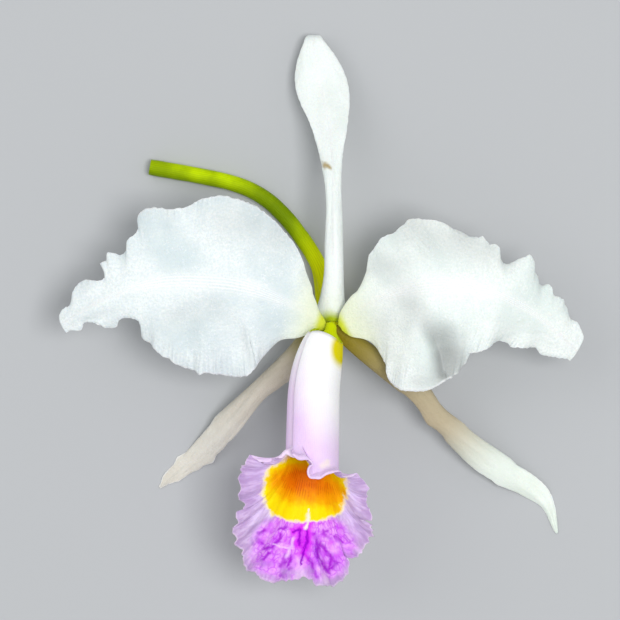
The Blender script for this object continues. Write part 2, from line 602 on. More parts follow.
def petal_relief(seed, creases, crimp_size, tooth_size):
    """A rule that roughens a petal's sheet with creases, margin pleats and teeth."""

    def roughen(sheet, t, v, outward):
        for crease in creases:
            add_crease(sheet, *crease)
        open_blade = smoothstep(t, 0.1, 0.3)
        for sign in (-1, 1):
            flank = np.clip(sign * v, 0, 1)
            drift = 1.5 * noise_line(seed + sign, 24, t[:, 0])[:, None]
            strength = 0.6 + 0.4 * noise_line(seed + 5 * sign, 14, t[:, 0])[:, None]
            pleats = np.sin(2 * np.pi * (46 * t + drift + 1.2 * flank))
            sheet[..., 2] += crimp_size * strength * pleats * flank**9 * open_blade
            teeth = cusps(seed + 7 * sign, 90, t[:, 0]) + 0.5 * cusps(seed + 9 * sign, 190, t[:, 0])
            bite = tooth_size * teeth[:, None] * flank**14 * open_blade
            sheet[..., :2] += outward * bite[..., None]
        swell = noise_sheet(seed + 11, (9, 6), t[:, 0], (v[0] + 1) / 2)
        ripple = noise_sheet(seed + 12, (40, 22), t[:, 0], (v[0] + 1) / 2)
        sheet[..., 2] += 0.35 * swell * open_blade * (1 - 0.5 * v**2)
        sheet[..., 2] += 0.05 * ripple * open_blade

    return roughen


print("teeth along an edge:", cusps(1, 9, np.linspace(0, 1, 6)).round(2))

# %% The ribs along the middle
MIDRIB_TURNS, RIB_GAP = 3, 0.045  # parallel ribs on each side of the midrib, and their spacing


def add_midrib(sheet, v, t, height, width):
    """Raises low parallel ribs along the middle of a blade."""
    for k in range(-MIDRIB_TURNS, MIDRIB_TURNS + 1):
        place = RIB_GAP * k * (1 + 0.5 * t)
        strength = height / (1 + abs(k)) * smoothstep(t, 0.12, 0.3) * (1 - smoothstep(t, 0.6, 0.95))
        sheet[..., 2] += strength * np.exp(-(((v - place) / width) ** 2))


print("a blade has", 2 * MIDRIB_TURNS + 1, "ribs")

# %% A petal or sepal from its form
CLAW_REACH = 0.14  # share of a blade's length that the thick claw takes
# height of the midrib in mm, and its width as a share of the half blade
PETAL_RIB, SEPAL_RIB = (0.09, 0.014), (0.08, 0.06)


def blade_thickness(t, v, blade=0.8, claw=0.7, edge=0.3):
    """Thick at the claw and thin at the margin and the tip."""
    body = blade + claw * (1 - smoothstep(t, 0, CLAW_REACH))[:, None]
    rim = np.maximum(np.abs(v)[None, :] ** 8, (t**24)[:, None])
    return body + (edge - body) * rim * smoothstep(t, 0.02, 0.15)[:, None]


def tepal_piece(node, form, rows, columns, roughen, rib, slot, edges=None, hollows=()):
    """A petal or sepal that stands for its node."""
    sheet, t, v = tepal_sheet(form, rows, columns, roughen, edges)
    add_midrib(sheet, v[None, :], t[:, None], *rib)
    if np.cross(sheet[1, 0] - sheet[0, 0], sheet[0, 1] - sheet[0, 0])[2] < 0:
        sheet, v = sheet[:, ::-1], v[::-1]
    uv = np.dstack(np.broadcast_arrays(t[:, None], (v[None, :] + 1) / 2))
    hollow = np.zeros(sheet.shape[:2])
    for strength, *fold in hollows:
        hollow = hollow + strength * fold_share(sheet, *fold)
    piece = blade_piece(node + "_skin", sheet, blade_thickness(t, v), uv, {"hollow": hollow})
    return stand_for(piece, node)


print("thickness in mm at the claw, the middle and the tip:",
      blade_thickness(np.array([0, 0.5, 1]), np.zeros(1)).ravel().round(2))

# %% Build the petals and the sepals
# where a blade is dull in its hollows: strength, a line in plan, and its reach to the left and right
RIGHT_HOLLOWS = [
    (0.72, [(25.5, 2.5), (30, -3.7), (32.2, -9.3), (32.8, -13.3)], 4.5, 2.4),
    (0.6, [(29, -6), (31.6, -10), (32.2, -14.2)], 2, 4),
    (0.3, [(18, 9.5), (24.5, 3.5), (28.5, -3)], 3.5, 3), (0.22, [(11, 0), (17, 2), (22, 0)], 4, 4),
    (0.3, [(10, 20), (14, 17), (22, 10)], 5, 5), (0.3, [(31, 3), (35, -4), (36, -9)], 2.5, 3),
    (0.2, [(32, -5), (34.5, -9), (38, -12)], 3, 4), (0.4, [(12, 25), (24, 27), (44, 21)], 6, 6),
    (0.25, [(19, -15), (24, -16.8), (30, -16)], 2.5, 2.5),
    (0.28, [(-2, 5), (5.5, 3.1), (10.7, 1.1), (15.3, -2.9), (16.5, -9)], 3.5, 4),
    (0.1, [(34, -2.5), (44, -1), (53, -1.5), (61, -4)], 3.5, 4),
    (0.11, [(-4, 2), (3.8, 4.6), (11.9, 6.9), (20, 6.9), (26, 5)], 1.6, 3),
    (0.09, [(2, 3), (6.1, 9.2), (10.2, 13.8), (17.1, 16.7), (26, 18.5)], 3, 1.6),
]
LEFT_HOLLOWS = [
    (0.2, [(-54, -5), (-43, 1.5), (-33, 4.5)], 4.5, 5.5),
    (0.3, [(-25.3, 2), (-24.6, -4), (-22.5, -12)], 1.2, 1.2),
    (0.27, [(-6, 18), (-16, 26), (-30, 29.5)], 6.5, 6.5),
]
# start and end in plan, width and depth of each crease
RIGHT_CREASES = [
    ((19, 28), (27, 19), 0.5, 0.5), ((25, 28), (32, 20), 0.6, 0.45), ((16, 23), (22, 17), 0.8, 0.4),
    ((22, 29), (29.5, 20), 0.5, -0.4), ((52, 8), (66, -5), 1.5, 0.3),
    ((36, 3), (37, -8), 1.6, -0.5), ((20, -12), (30, -14), 0.7, 0.2),
]
LEFT_CREASES = [
    ((-25.3, 0.5), (-22.5, -12), 0.7, 0.8), ((-23.7, -1.6), (-21, -13), 0.4, 0.6),
    ((-36, 1), (-46, -7), 0.8, 0.25), ((-60, 4), (-72, 0), 1.5, 0.4),
    ((-30, 28), (-33, 34), 1.5, 0.3), ((-50, 20), (-58, 24), 1.2, 0.3),
]
PETAL_GRID = (321, 93)  # rows along the blade and columns across it
petal_left = tepal_piece("petal_left", PETAL_LEFT, *PETAL_GRID,
                         petal_relief(20, LEFT_CREASES, 0.14, 0.2),
                         PETAL_RIB, "petal", PETAL_LEFT_EDGES, LEFT_HOLLOWS)
petal_right = tepal_piece("petal_right", PETAL_RIGHT, *PETAL_GRID,
                          petal_relief(40, RIGHT_CREASES, 0.08, 0.16),
                          PETAL_RIB, "petal", PETAL_RIGHT_EDGES, RIGHT_HOLLOWS)
# form, rows, columns, seed of its relief and corners of its edges
SEPALS = {
    "dorsal_sepal": (DORSAL_SEPAL, 261, 61, 60, None),
    "lateral_sepal_left": (SEPAL_LEFT, 201, 61, 70, SEPAL_LEFT_EDGES),
    "lateral_sepal_right": (SEPAL_RIGHT, 221, 61, 80, SEPAL_RIGHT_EDGES),
}
sepals = [
    tepal_piece(node, form, rows, columns, petal_relief(seed, [], 0.03, 0.08), SEPAL_RIB, "sepal", edges)
    for node, (form, rows, columns, seed, edges) in SEPALS.items()
]

# %% [markdown]
# ## The lip
#
# The lip is one petal that is rolled into a trumpet. Its veins all start at the heart, run along
# a tube round the column, and bend out to the margin. We name a vein by its angle round the tube,
# with 0 at the keel underneath. The side lobes reach 175 degrees round on the left and 225 on the
# right, so they lap over each other on top. Each vein is a stretch of tube and then a Bezier
# curve to its place on the margin.

# %% The lip's tube and its margin
LEFT_REACH, RIGHT_REACH = 175, 225
TUBE_AXIS = [(0, -0.3, 27.5), (-2.7, -7.4, 30), (-4.7, -17.2, 33), (-5.2, -29.8, 37),
             (-5.4, -40.4, 40.5), (-5.4, -46.4, 42.5)]
# angle of the vein, and how far along the tube it starts
TUBE_STARTS = [(-175, 5), (-140, 5), (-105, 5), (-80, 3.8), (-55, 1.4), (0, 0), (50, 1.4),
               (75, 3), (100, 4.2), (125, 5.2), (150, 5.1), (180, 4.8), (205, 4.8), (225, 5.2)]
# angle of the vein, and how far along the tube it leaves it
TUBE_ENDS = [(-175, 34), (-120, 37), (-85, 37), (-45, 34), (0, 33), (45, 37), (80, 42), (130, 43),
             (160, 44), (185, 43), (205, 38), (225, 36)]
# angle of the vein, and the place of its end on the margin
LIP_MARGIN = [
    (-175, -7.4, -36.7, 47.5), (-152, -11.3, -35.6, 47), (-137, -13.8, -34.8, 46.5),
    (-122, -15.8, -37.1, 45.5), (-110, -19.1, -38.5, 44.5), (-101, -22.8, -36.6, 44),
    (-90, -25.6, -40.3, 43), (-78, -26.5, -47, 42), (-66, -25.9, -52.1, 41),
    (-55, -27.9, -57.3, 40), (-44, -26.5, -62.2, 38), (-33, -24.9, -68.6, 35),
    (-20, -20.1, -71.9, 32), (-8, -13.9, -73.1, 31), (3, -7.1, -71.8, 30), (13, -2.3, -74.7, 29.5),
    (24, 3.4, -72.9, 31), (34, 5.6, -68.2, 33), (45, 10.1, -62.3, 36), (57, 11.7, -56.5, 38.5),
    (69, 10.3, -50.7, 41), (82, 10.3, -45.9, 43), (94, 8, -42.4, 44.5), (107, 5.5, -42.6, 46),
    (119, 3.2, -42, 48), (131, 1.8, -40.6, 50), (144, -0.4, -40.6, 51.5), (155, -2.4, -41.9, 51),
    (163, -4.3, -42.2, 50.8), (170, -6, -42.3, 50.8), (176, -6.6, -41.2, 50.9),
    (182, -6.2, -39.8, 50.9), (188, -5.3, -38.9, 51), (196, -6.1, -37.3, 50.8),
    (204, -7.4, -36.2, 50.5), (213, -9.6, -36.2, 50), (220, -11, -35.4, 49),
    (225, -11.3, -34.6, 48.5),
]
print("the lip's margin passes", len(LIP_MARGIN), "places")

# %% The lip's torn edge, and a way to read its tables
# corners of the flare's torn and toothed edge, from the left side of the mouth round to the right
LIP_EDGE = [
    (-15.8, -37.2), (-16.7, -38.4), (-18.4, -38.7), (-19.5, -38.5), (-22, -37.3), (-22.6, -36.5),
    (-23.2, -37.6), (-24, -38.4), (-24.4, -39.3), (-25.1, -39.8), (-25.5, -41.5), (-26.2, -41.8),
    (-26, -42.9), (-26.1, -44.6), (-25.8, -46.9), (-26.4, -47.7), (-26.5, -48.9), (-26.3, -49.2),
    (-25.1, -49.4), (-24.8, -50), (-24.8, -51.1), (-25.2, -52.3), (-26.1, -52.7), (-26.6, -52.6),
    (-26.8, -52.9), (-27.1, -54.3), (-26.8, -54.8), (-26.7, -56.2), (-27.2, -57), (-28.1, -57.4),
    (-26.7, -60), (-26.8, -60.6), (-27.4, -61.7), (-25.3, -64.1), (-25.6, -65.2), (-25.3, -66.1),
    (-25.2, -68.1), (-24.5, -69.6), (-22.8, -69.8), (-22, -70.2), (-21.2, -71.2), (-20.5, -71.5),
    (-20.3, -72.1), (-19.4, -72.2), (-17.2, -73.4), (-13.8, -73.1), (-11.5, -72.4), (-9.5, -72.4),
    (-8.4, -72), (-6.4, -72.1), (-5.6, -72.9), (-5, -74), (-2.7, -74.8), (1.5, -74.3), (2.4, -73.7),
    (2.7, -73.2), (3.3, -73), (3.4, -72.4), (4.2, -71.5), (4.8, -70.4), (4.9, -69.2), (5.4, -68.6),
    (5.4, -67.4), (4.1, -66.6), (4.3, -66.2), (5.8, -66.8), (6.9, -66.8), (7.7, -65.4),
    (8.6, -64.8), (8.8, -63.5), (10, -62.9), (11, -60.7), (11.9, -60.1), (11.8, -58.4),
    (11.5, -57.5), (11.3, -56.5), (10.2, -56.5), (9.4, -56), (9.5, -55), (10.4, -54.9),
    (11.3, -55.5), (11.6, -55.6), (11.9, -54.9), (11.7, -53.5), (11.1, -52), (10.3, -51.5),
    (9.5, -50), (10.3, -47.1), (10.3, -44.9), (9.8, -44), (8.1, -43.1), (7.3, -41.5), (6.6, -42),
    (4.8, -42.5), (3.6, -42.4), (2.8, -42),
]
MOUTH = np.array([-6.5, -46])


def look_up(table, keys):
    """The smooth values of a table at keys. The first number of each row is its key."""
    rows = np.array(table, float)
    last = len(rows) - 1
    i = np.clip(np.searchsorted(rows[:, 0], keys, side="right") - 1, 0, last - 1)
    before, start, stop, after = (rows[np.clip(i + k, 0, last)] for k in (-1, 0, 1, 2))
    w = (keys - start[:, 0]) / (stop[:, 0] - start[:, 0])
    return between(before, start, stop, after, w[:, None])[:, 1:]


print("the keel leaves the tube", look_up(TUBE_ENDS, np.array([0.0]))[0, 0], "mm along")

# %% The tube that the lip and the column share
TUBE_PATH = even_path(TUBE_AXIS, FINE)
TUBE_LENGTH = np.linalg.norm(np.diff(TUBE_PATH, axis=0), axis=1).sum()
TUBE_TANGENTS = np.gradient(TUBE_PATH, axis=0)
TUBE_CLAW_RADIUS, TUBE_RADIUS, TUBE_SWELL = 2.8, 7.1, 6.5


def unit(vectors):
    """The same directions, at length 1."""
    return vectors / np.linalg.norm(vectors, axis=-1, keepdims=True)


def tube_frame(distance):
    """The tube's centre, its direction, its right side and its top, at distances along it."""
    share = np.clip(distance / TUBE_LENGTH, 0, 1)
    centre, ahead = (
        np.stack([np.interp(share, FINE, track[:, k]) for k in range(3)], axis=-1)
        for track in (TUBE_PATH, TUBE_TANGENTS)
    )
    ahead = unit(ahead)
    right = unit(np.cross([0, 0, 1], ahead))
    return centre, ahead, right, np.cross(ahead, right)


def tube_point(distance, vein):
    """Points of the tube at distances along it, on veins, and the tube's direction there."""
    centre, ahead, right, top = tube_frame(distance)
    lap = 0.7 * smoothstep(vein, 110, 165) - 0.6 * smoothstep(-vein, 95, 145)
    radius = TUBE_CLAW_RADIUS + (TUBE_RADIUS - TUBE_CLAW_RADIUS) * (1 - np.exp(-distance / TUBE_SWELL))
    radius = (radius + lap * smoothstep(distance, 0, 6))[..., None]
    turn = np.radians(vein)[..., None]
    return centre + right * radius * np.sin(turn) - top * radius * np.cos(turn), ahead


print("the tube is", round(float(TUBE_LENGTH), 1), "mm long")

# %% [markdown]
# ### The lip's sheet
#
# A margin that is longer than the blade behind it has to frill. We give the mesh more columns
# where the margin is long, add coarse ruffles as the solid has them, and on top of them short
# pleats, teeth and the corners of the torn edge. The two laps at the mouth roll their rims up and
# back, and a few creases press the grooves between the keels and where the lobe folds.

# %% Veins that share out the margin fairly
ALL_VEINS = np.linspace(-LEFT_REACH, RIGHT_REACH, 4001)


def even_veins(count):
    """Vein angles that share out the margin's length and the tube's turn fairly."""
    steps = np.linalg.norm(np.diff(look_up(LIP_MARGIN, ALL_VEINS), axis=0), axis=1)
    walked = np.append(0, np.cumsum(steps + 0.12 * np.diff(ALL_VEINS)))
    return np.interp(np.linspace(0, walked[-1], count), walked, ALL_VEINS)


print("nine veins:", even_veins(9).round())

# %% Pleats, teeth and rolled rims
RIM_ROLL, RIM_RADIUS = 2.4, 0.95  # mm of lap that roll up, and the radius of the roll


def roughen_flare(flare, vein, w, outward, span, open_flare):
    """Pleats, teeth and swellings of the flare, and the rolled rim of its two laps."""
    steps = np.linalg.norm(np.diff(flare[-1], axis=0), axis=1)
    walked = np.append(0, np.cumsum(steps))
    place, knots = walked / walked[-1], int(walked[-1])
    pleats = noise_line(101, knots // 2, place) + 0.5 * noise_line(102, knots, place)
    flare[..., 2] += 0.4 * pleats * w**4 * open_flare
    teeth = cusps(103, knots // 2, place) + 0.5 * cusps(104, knots, place)
    flare += (outward * (0.6 * teeth * open_flare)[:, None]) * (w**7)[..., None]
    smooth_margin = look_up(LIP_MARGIN, ALL_VEINS)[:, :2]
    flare[..., :2] += edge_shift(smooth_margin, ALL_VEINS, LIP_EDGE, vein) * (w**4)[..., None]
    swell = noise_sheet(105, (5, 30), w[:, 0], place)
    flare[..., 2] += 0.45 * swell * smoothstep(w, 0.15, 0.6) * open_flare
    flap = smoothstep(vein, 118, 134) + smoothstep(-vein, 116, 130)
    flare[..., 2] += 0.35 * noise_line(107, 70, place) * w**3 * flap
    radius = RIM_RADIUS + 0.5 * noise_line(106, 34, place)
    beyond = np.maximum(w - 1 + RIM_ROLL / span, 0) * span * flap
    turn = beyond / radius
    flare += (outward * [1, 1, 0])[None] * (radius * np.sin(turn) - 0.45 * beyond)[..., None]
    flare[..., 2] += radius * (1 - np.cos(turn))


print("the laps roll up over", RIM_ROLL, "mm")

# %% From veins to a sheet
LIP_ROWS, LIP_COLUMNS, TUBE_ROWS = 108, 458, 34
LEAVE_PULL, ARRIVE_PULL = 0.36, 0.34  # how far the Bezier handles reach, as shares of the vein's span
MARGIN_DROOP = -0.35  # slope at which the veins reach the margin


def lip_sheet():
    """The lip's middle surface, its veins and each row's share of the flare."""
    vein = even_veins(LIP_COLUMNS)
    v = np.where(vein < 0, vein / LEFT_REACH, vein / RIGHT_REACH)
    start, end = look_up(TUBE_STARTS, vein)[:, 0], look_up(TUBE_ENDS, vein)[:, 0]
    share = np.linspace(0, 1, TUBE_ROWS)[:, None]
    distance = start + (end - start) * share
    tube, _ = tube_point(distance, np.broadcast_to(vein, distance.shape))
    root, ahead = tube_point(end, vein)
    margin = look_up(LIP_MARGIN, vein)
    span = np.linalg.norm(margin - root, axis=1)
    outward = unit(margin[:, :2] - MOUTH)
    outward = unit(np.column_stack([outward, np.full(len(vein), MARGIN_DROOP)]))
    w = np.linspace(0, 1, LIP_ROWS - TUBE_ROWS + 1)[1:, None, None]
    leave = root + ahead * span[:, None] * LEAVE_PULL
    arrive = margin - outward * span[:, None] * ARRIVE_PULL
    flare = (1 - w) ** 3 * root + 3 * (1 - w) ** 2 * w * leave + 3 * (1 - w) * w**2 * arrive + w**3 * margin
    w = w[..., 0]
    open_flare = smoothstep(span, 4, 14)
    ruffle = 0.7 * np.sin(2 * np.pi * (11 * v + 0.2)) + 0.4 * np.sin(2 * np.pi * (19 * v + 0.6))
    flare[..., 2] += ruffle * w**3 * open_flare
    roughen_flare(flare, vein, w, outward, span, open_flare)
    flare_share = np.vstack([np.zeros((TUBE_ROWS, 1)), w])
    along = np.vstack([distance, end + span * w])
    return np.concatenate([tube, flare]), vein, v, flare_share, along


print("the lip's grid is", LIP_ROWS, "by", LIP_COLUMNS, "points")

# %% Shape the lip
# start and end in plan, width and depth
LIP_CREASES = [
    ((-5, -60), (-2.5, -74), 0.9, 1.5), ((-4, -62), (1, -73), 2.4, -0.9),
    ((-18, -64), (-11, -65), 0.4, -0.3), ((-7, -56), (-7.3, -66), 0.45, -0.5),
    ((-8.6, -56), (-8.8, -66), 0.45, -0.4), ((4, -53), (12, -57), 1, 0.7),
    ((-24, -42), (-17, -45), 0.9, 0.5), ((-25, -49), (-18, -49), 0.8, 0.4),
    ((3, -60), (9, -64), 1, 0.5), ((-13, -62), (-16, -70), 1, 0.4),
]
sheet, vein, lip_v, flare_share, along = lip_sheet()
lower_lobe = flare_share * (np.abs(vein) < 100)
for crease in LIP_CREASES:
    creased = sheet.copy()
    add_crease(creased, *crease)
    sheet[..., 2] += (creased - sheet)[..., 2] * smoothstep(lower_lobe, 0.02, 0.15)
print("lip sheet spans", np.ptp(sheet.reshape(-1, 3), axis=0).round(1), "mm")

# %% [markdown]
# ### Where the lip's colours lie
#
# The throat's orange patch has a sharp outline on the flare, and the purple lies below it. They
# could be painted in Weight Paint mode, but in code they are easiest to say in plan, in
# millimetres from the heart. So each vertex keeps some numbers, its marks. throat is 0 in the
# middle of the orange and 1 on its outline, and it stays low down inside the tube. glow is 0 in
# the deep orange under the mouth's upper edge and 1 in the yellow. blush is how purple the lobe
# is, patch is the yellow beside the column, and flare is how far out on the flare a point lies.
# The material turns them into colour and breaks up their edges.

# %% Mark and build the lip
THROAT_CENTRE, THROAT_HALF = (-7.4, -46.6), (11.6, 8.9)
GLOW_CENTRE, GLOW_REACH = (-8.8, -43.4), (9.5, 16, 8.2, 4.6)  # reach to the left, right, front and back
BLUSH_CENTRE, BLUSH_HALF = (-8.2, -63.6), (16.4, 11.2)
PATCH, PATCH_HALF = (2.7, -7.3), (2.3, 3.7)  # the yellow patch beside the column


def oval(sheet, centre, half, power):
    """0 at centre and 1 on a rounded box round it, in plan."""
    x = np.abs(sheet[..., 0] - centre[0]) / half[0]
    y = np.abs(sheet[..., 1] - centre[1]) / half[1]
    return (x**power + y**power) ** (1 / power)


def lopsided(sheet, centre, reach, lean):
    """0 at centre and 1 on an egg round it, in plan, that leans forward on its right."""
    left, right, front, back = reach
    x, y = sheet[..., 0] - centre[0], sheet[..., 1] - centre[1]
    y = y + lean * np.maximum(x, 0) ** 2
    return np.hypot(x / np.where(x < 0, left, right), y / np.where(y < 0, front, back))


throat = oval(sheet, THROAT_CENTRE, THROAT_HALF, 2.5)
in_tube = 1 - smoothstep(flare_share, 0, 0.05)
lapped = 0.9 * smoothstep(np.abs(vein), 95, 150)
throat = np.minimum(throat, 0.45 + 2.6 * flare_share + lapped)
tube_throat = 0.35 + lapped + 1 - smoothstep(along, 7, 13)
throat = throat * (1 - in_tube) + tube_throat * in_tube
throat = throat + 1.2 * smoothstep(flare_share, 0.5, 0.72) * smoothstep(np.abs(vein), 112, 126)
glow = np.minimum(lopsided(sheet, GLOW_CENTRE, GLOW_REACH, 0.03), 0.6 + 3 * flare_share)
blush = 1 - smoothstep(oval(sheet, BLUSH_CENTRE, BLUSH_HALF, 2.6), 0.6, 1.15)
LIP_SPAN = 95.0  # a length that all distances along the lip stay under, so that the UV fits 0 to 1
turn = (vein + LEFT_REACH) / (LEFT_REACH + RIGHT_REACH)
uv = np.dstack(np.broadcast_arrays(along / LIP_SPAN, turn))
rim = np.maximum(flare_share**10, np.abs(lip_v) ** 30)
thickness = 0.8 - 0.5 * rim * smoothstep(along, 8, 14)
patch = hump(sheet[..., 0], PATCH[0], PATCH_HALF[0]) * hump(sheet[..., 1], PATCH[1], PATCH_HALF[1])
marks = {"throat": throat, "glow": glow, "blush": blush, "patch": patch,
         "flare": np.broadcast_to(flare_share, throat.shape)}
lip = stand_for(blade_piece("lip_skin", sheet, thickness, uv, marks), "lip")

# %% [markdown]
# ## Column, anther cap, pollinia and stalk
#
# The column is the flower's fused male and female part, a waxy club that lies in the tube. The
# anther sits on its end under a cap like a small helmet, with the four yellow pollinia inside.
# Only the column's foot shows. The stalk's upper end is the ribbed ovary, and from there it
# narrows and bends down onto the table. All of these are rings of points round a path. Blender's
# curves with a bevel would make round ones, but these are ribbed, grooved or flattened.

# %% Pieces made of rings


def ring_faces(rings, sides):
    """Faces of a closed body of rings, with a fan at each end. The last two points are the hubs."""
    grid = np.arange(rings * sides).reshape(rings, sides)
    near, far = grid[:-1], grid[1:]
    walls = np.stack([a.ravel() for a in (near, np.roll(near, -1, 1), np.roll(far, -1, 1), far)], axis=1)
    first, last = grid[0], grid[-1]
    hub = rings * sides
    start = [(hub, int(b), int(a)) for a, b in zip(first, np.roll(first, -1))]
    stop = [(hub + 1, int(a), int(b)) for a, b in zip(last, np.roll(last, -1))]
    return walls.tolist() + start + stop


def ring_piece(node, rings):
    """A closed piece from an array of rings. Its node, its slot and itself share one name."""
    count, sides, _ = rings.shape
    points = np.concatenate([rings.reshape(-1, 3), rings[0].mean(0)[None], rings[-1].mean(0)[None]])
    t, turn = np.meshgrid(np.linspace(0, 1, count), np.linspace(0, 1, sides), indexing="ij")
    uv = np.concatenate([np.dstack([t, turn]).reshape(-1, 2), [(0, 0.5)], [(1, 0.5)]])
    return stand_for(mesh_piece(node + "_skin", points, ring_faces(count, sides), uv), node)


print("two rings of 6 points close with", len(ring_faces(2, 6)), "faces")

# %% The column
COLUMN_LENGTH, COLUMN_LIFT, COLUMN_BEND = 25, 1.4, 1.3
# distance along the tube, half width, height of the back, depth of the belly
COLUMN_FORM = [(-0.6, 0.9, 1.3, 1.3), (0, 1.5, 1.8, 1.6), (2, 1.9, 2, 1.7), (4.5, 3.3, 2.2, 1.8),
               (8, 4, 2.3, 1.9), (15, 4.1, 2.4, 2), (20, 4.3, 2.5, 2), (23.5, 4.5, 2.4, 1.9),
               (25, 3.7, 1.9, 1.5)]


def column_rings(stations=120, sides=64):
    """Rings of the column, with a shallow groove along its belly."""
    distance = np.linspace(COLUMN_FORM[0][0], COLUMN_LENGTH, stations)
    width, back, belly = look_up(COLUMN_FORM, distance).T[..., None]
    centre, ahead, right, top = tube_frame(np.maximum(distance, 0))
    centre = centre + ahead * np.minimum(distance, 0)[:, None]
    centre = centre + top * (COLUMN_LIFT * smoothstep(distance, 0, 10))[:, None]
    centre = centre + right * (COLUMN_BEND * hump(distance, 4.5, 2.6))[:, None]
    angle = np.linspace(0, 2 * np.pi, sides, endpoint=False)
    groove = 1 - 0.16 * hump(angle, 1.5 * np.pi, 0.3) * smoothstep(distance, 6, 12)[:, None]
    height = np.sin(angle) * np.where(np.sin(angle) > 0, back, belly) * groove
    rings = centre[:, None] + right[:, None] * (width * np.cos(angle))[..., None]
    return rings + top[:, None] * height[..., None]


column = ring_piece("column", column_rings())

# %% The anther cap and the pollinia
CAP_HALF_WIDTH, CAP_LENGTH, CAP_WALL, CAP_FLATTENING, CAP_GAP = 2.9, 3.4, 0.7, 0.7, 0.3


def on_column_end(points):
    """Points whose y axis leaves the column's end, set in place there."""
    centre, ahead, right, top = tube_frame(np.array(COLUMN_LENGTH + CAP_GAP))
    above = np.cross(right, ahead)
    basis = np.stack([right, ahead, above])
    return points @ basis + centre + top * COLUMN_LIFT


def cap_rings(steps=24, sides=56):
    """A hollow helmet: rings from its inner crown down to the rim and up to its outer crown."""
    angle = np.linspace(0.06, np.pi / 2, steps)[::-1]
    bead = 1 + 0.05 * hump(angle, 0.12, 0.1)
    round_cap = np.column_stack([np.cos(angle), np.sin(angle)])
    inner = round_cap * (CAP_HALF_WIDTH - CAP_WALL, CAP_LENGTH - CAP_WALL)
    outer = np.column_stack([CAP_HALF_WIDTH * np.cos(angle) * bead, CAP_LENGTH * np.sin(angle)])[::-1]
    inner[0, 0] = outer[-1, 0] = 0.02
    profile = np.concatenate([inner, outer])
    turn = np.linspace(0, 2 * np.pi, sides, endpoint=False)
    keel = 1 + 0.06 * hump(turn, 0.5 * np.pi, 0.25)
    x = profile[:, :1] * np.cos(turn)
    z = profile[:, :1] * np.sin(turn) * CAP_FLATTENING * keel
    y = np.broadcast_to(profile[:, 1:], x.shape)
    return on_column_end(np.dstack([x, y, z]))


anther_cap = ring_piece("anther_cap", cap_rings()[:, ::-1])

# %% Pollinia


def pollen_mass(place, rows=20, sides=28):
    """One waxy mass: an egg, squeezed across, with its narrow end at the foot."""
    u = np.linspace(0.02, np.pi - 0.02, rows)[:, None]
    turn = np.linspace(0, 2 * np.pi, sides, endpoint=False)
    x = 0.7 * place + 0.42 * np.sin(u) * np.cos(turn)
    y = np.broadcast_to(0.95 - 1.06 * np.cos(u), x.shape)
    z = 0.82 * np.sin(u) * (1 - 0.15 * np.cos(u)) * np.sin(turn)
    return np.dstack([x, y, z])


def pollinia_mesh():
    """Four masses and their foot as one list of points and faces."""
    points, faces = [], []
    for place in (-1.5, -0.5, 0.5, 1.5):
        rings = on_column_end(pollen_mass(place))
        shift = sum(len(p) for p in points)
        hubs = np.stack([rings[0].mean(0), rings[-1].mean(0)])
        points.append(np.concatenate([rings.reshape(-1, 3), hubs]))
        faces += [tuple(index + shift for index in face) for face in ring_faces(*rings.shape[:2])]
    return np.concatenate(points), faces


pollinia = mesh_piece("pollinia_skin", *pollinia_mesh())
remesh = pollinia.modifiers.new("grown together", "REMESH")
remesh.mode = "VOXEL"
remesh.voxel_size = 0.12 * MM
soften = pollinia.modifiers.new("soften", "SMOOTH")
soften.iterations = 4
stand_for(pollinia, "pollinia")
print("pollinia stand", CAP_GAP, "mm off the column")

# %% The stalk
STALK_PATH = [(0, 0.6, 19.6), (-0.2, 5, 13.4), (-1.3, 11, 7.8), (-4.2, 18.4, 3.9), (-9.2, 26.2, 2.5),
              (-14.7, 32.7, 2.4), (-20.4, 37.4, 2.4), (-27.9, 40.8, 2.4), (-38.1, 43.1, 2.4),
              (-52.7, 45.7, 2.4)]
STALK_RADIUS, OVARY_RADIUS, OVARY_SHARE, OVARY_RIBS = 2.3, 3.5, 0.3, 6


def stalk_rings(stations=240, sides=60):
    """Rings of the stalk, which stays flat where it lies on the table."""
    t = np.linspace(0, 1, stations)
    centre = even_path(STALK_PATH, t)
    ahead = unit(np.gradient(centre, axis=0))
    side = unit(np.cross(ahead, [0, 0, 1]))
    top = np.cross(side, ahead)
    angle = np.linspace(0, 2 * np.pi, sides, endpoint=False)
    ovary = (1 - smoothstep(t, OVARY_SHARE / 2, OVARY_SHARE))[:, None]
    dome = np.sqrt(1 - (1 - np.clip(t / 0.03, 0.12, 1)) ** 2)[:, None]
    ribs = 0.3 * ovary * np.cos(OVARY_RIBS * angle)
    uneven = 0.05 * noise_sheet(90, (30, 8), t, np.linspace(0, 1, sides))
    radius = (STALK_RADIUS + (OVARY_RADIUS - STALK_RADIUS) * ovary + ribs + uneven) * dome
    rings = centre[:, None] + side[:, None] * (radius * np.cos(angle))[..., None]
    rings = rings + top[:, None] * (radius * np.sin(angle))[..., None]
    rings[..., 2] = np.where(rings[..., 2] < TABLE_TOUCH, 0, rings[..., 2])
    return rings


stalk = ring_piece("stalk", stalk_rings())

# %% [markdown]
# ## Words for shader nodes
#
# A material is a graph of nodes. It could be drawn by hand in the Shader Editor, but code can be
# read, compared and run again, and a few words keep it readable. What a node puts out becomes a
# Value here, and a sum or a product of values is a Math node. rise turns a stretch of values into
# a soft 0 to 1, and coats lays one colour over another, as a painter does.

# %% Values that can be added and multiplied


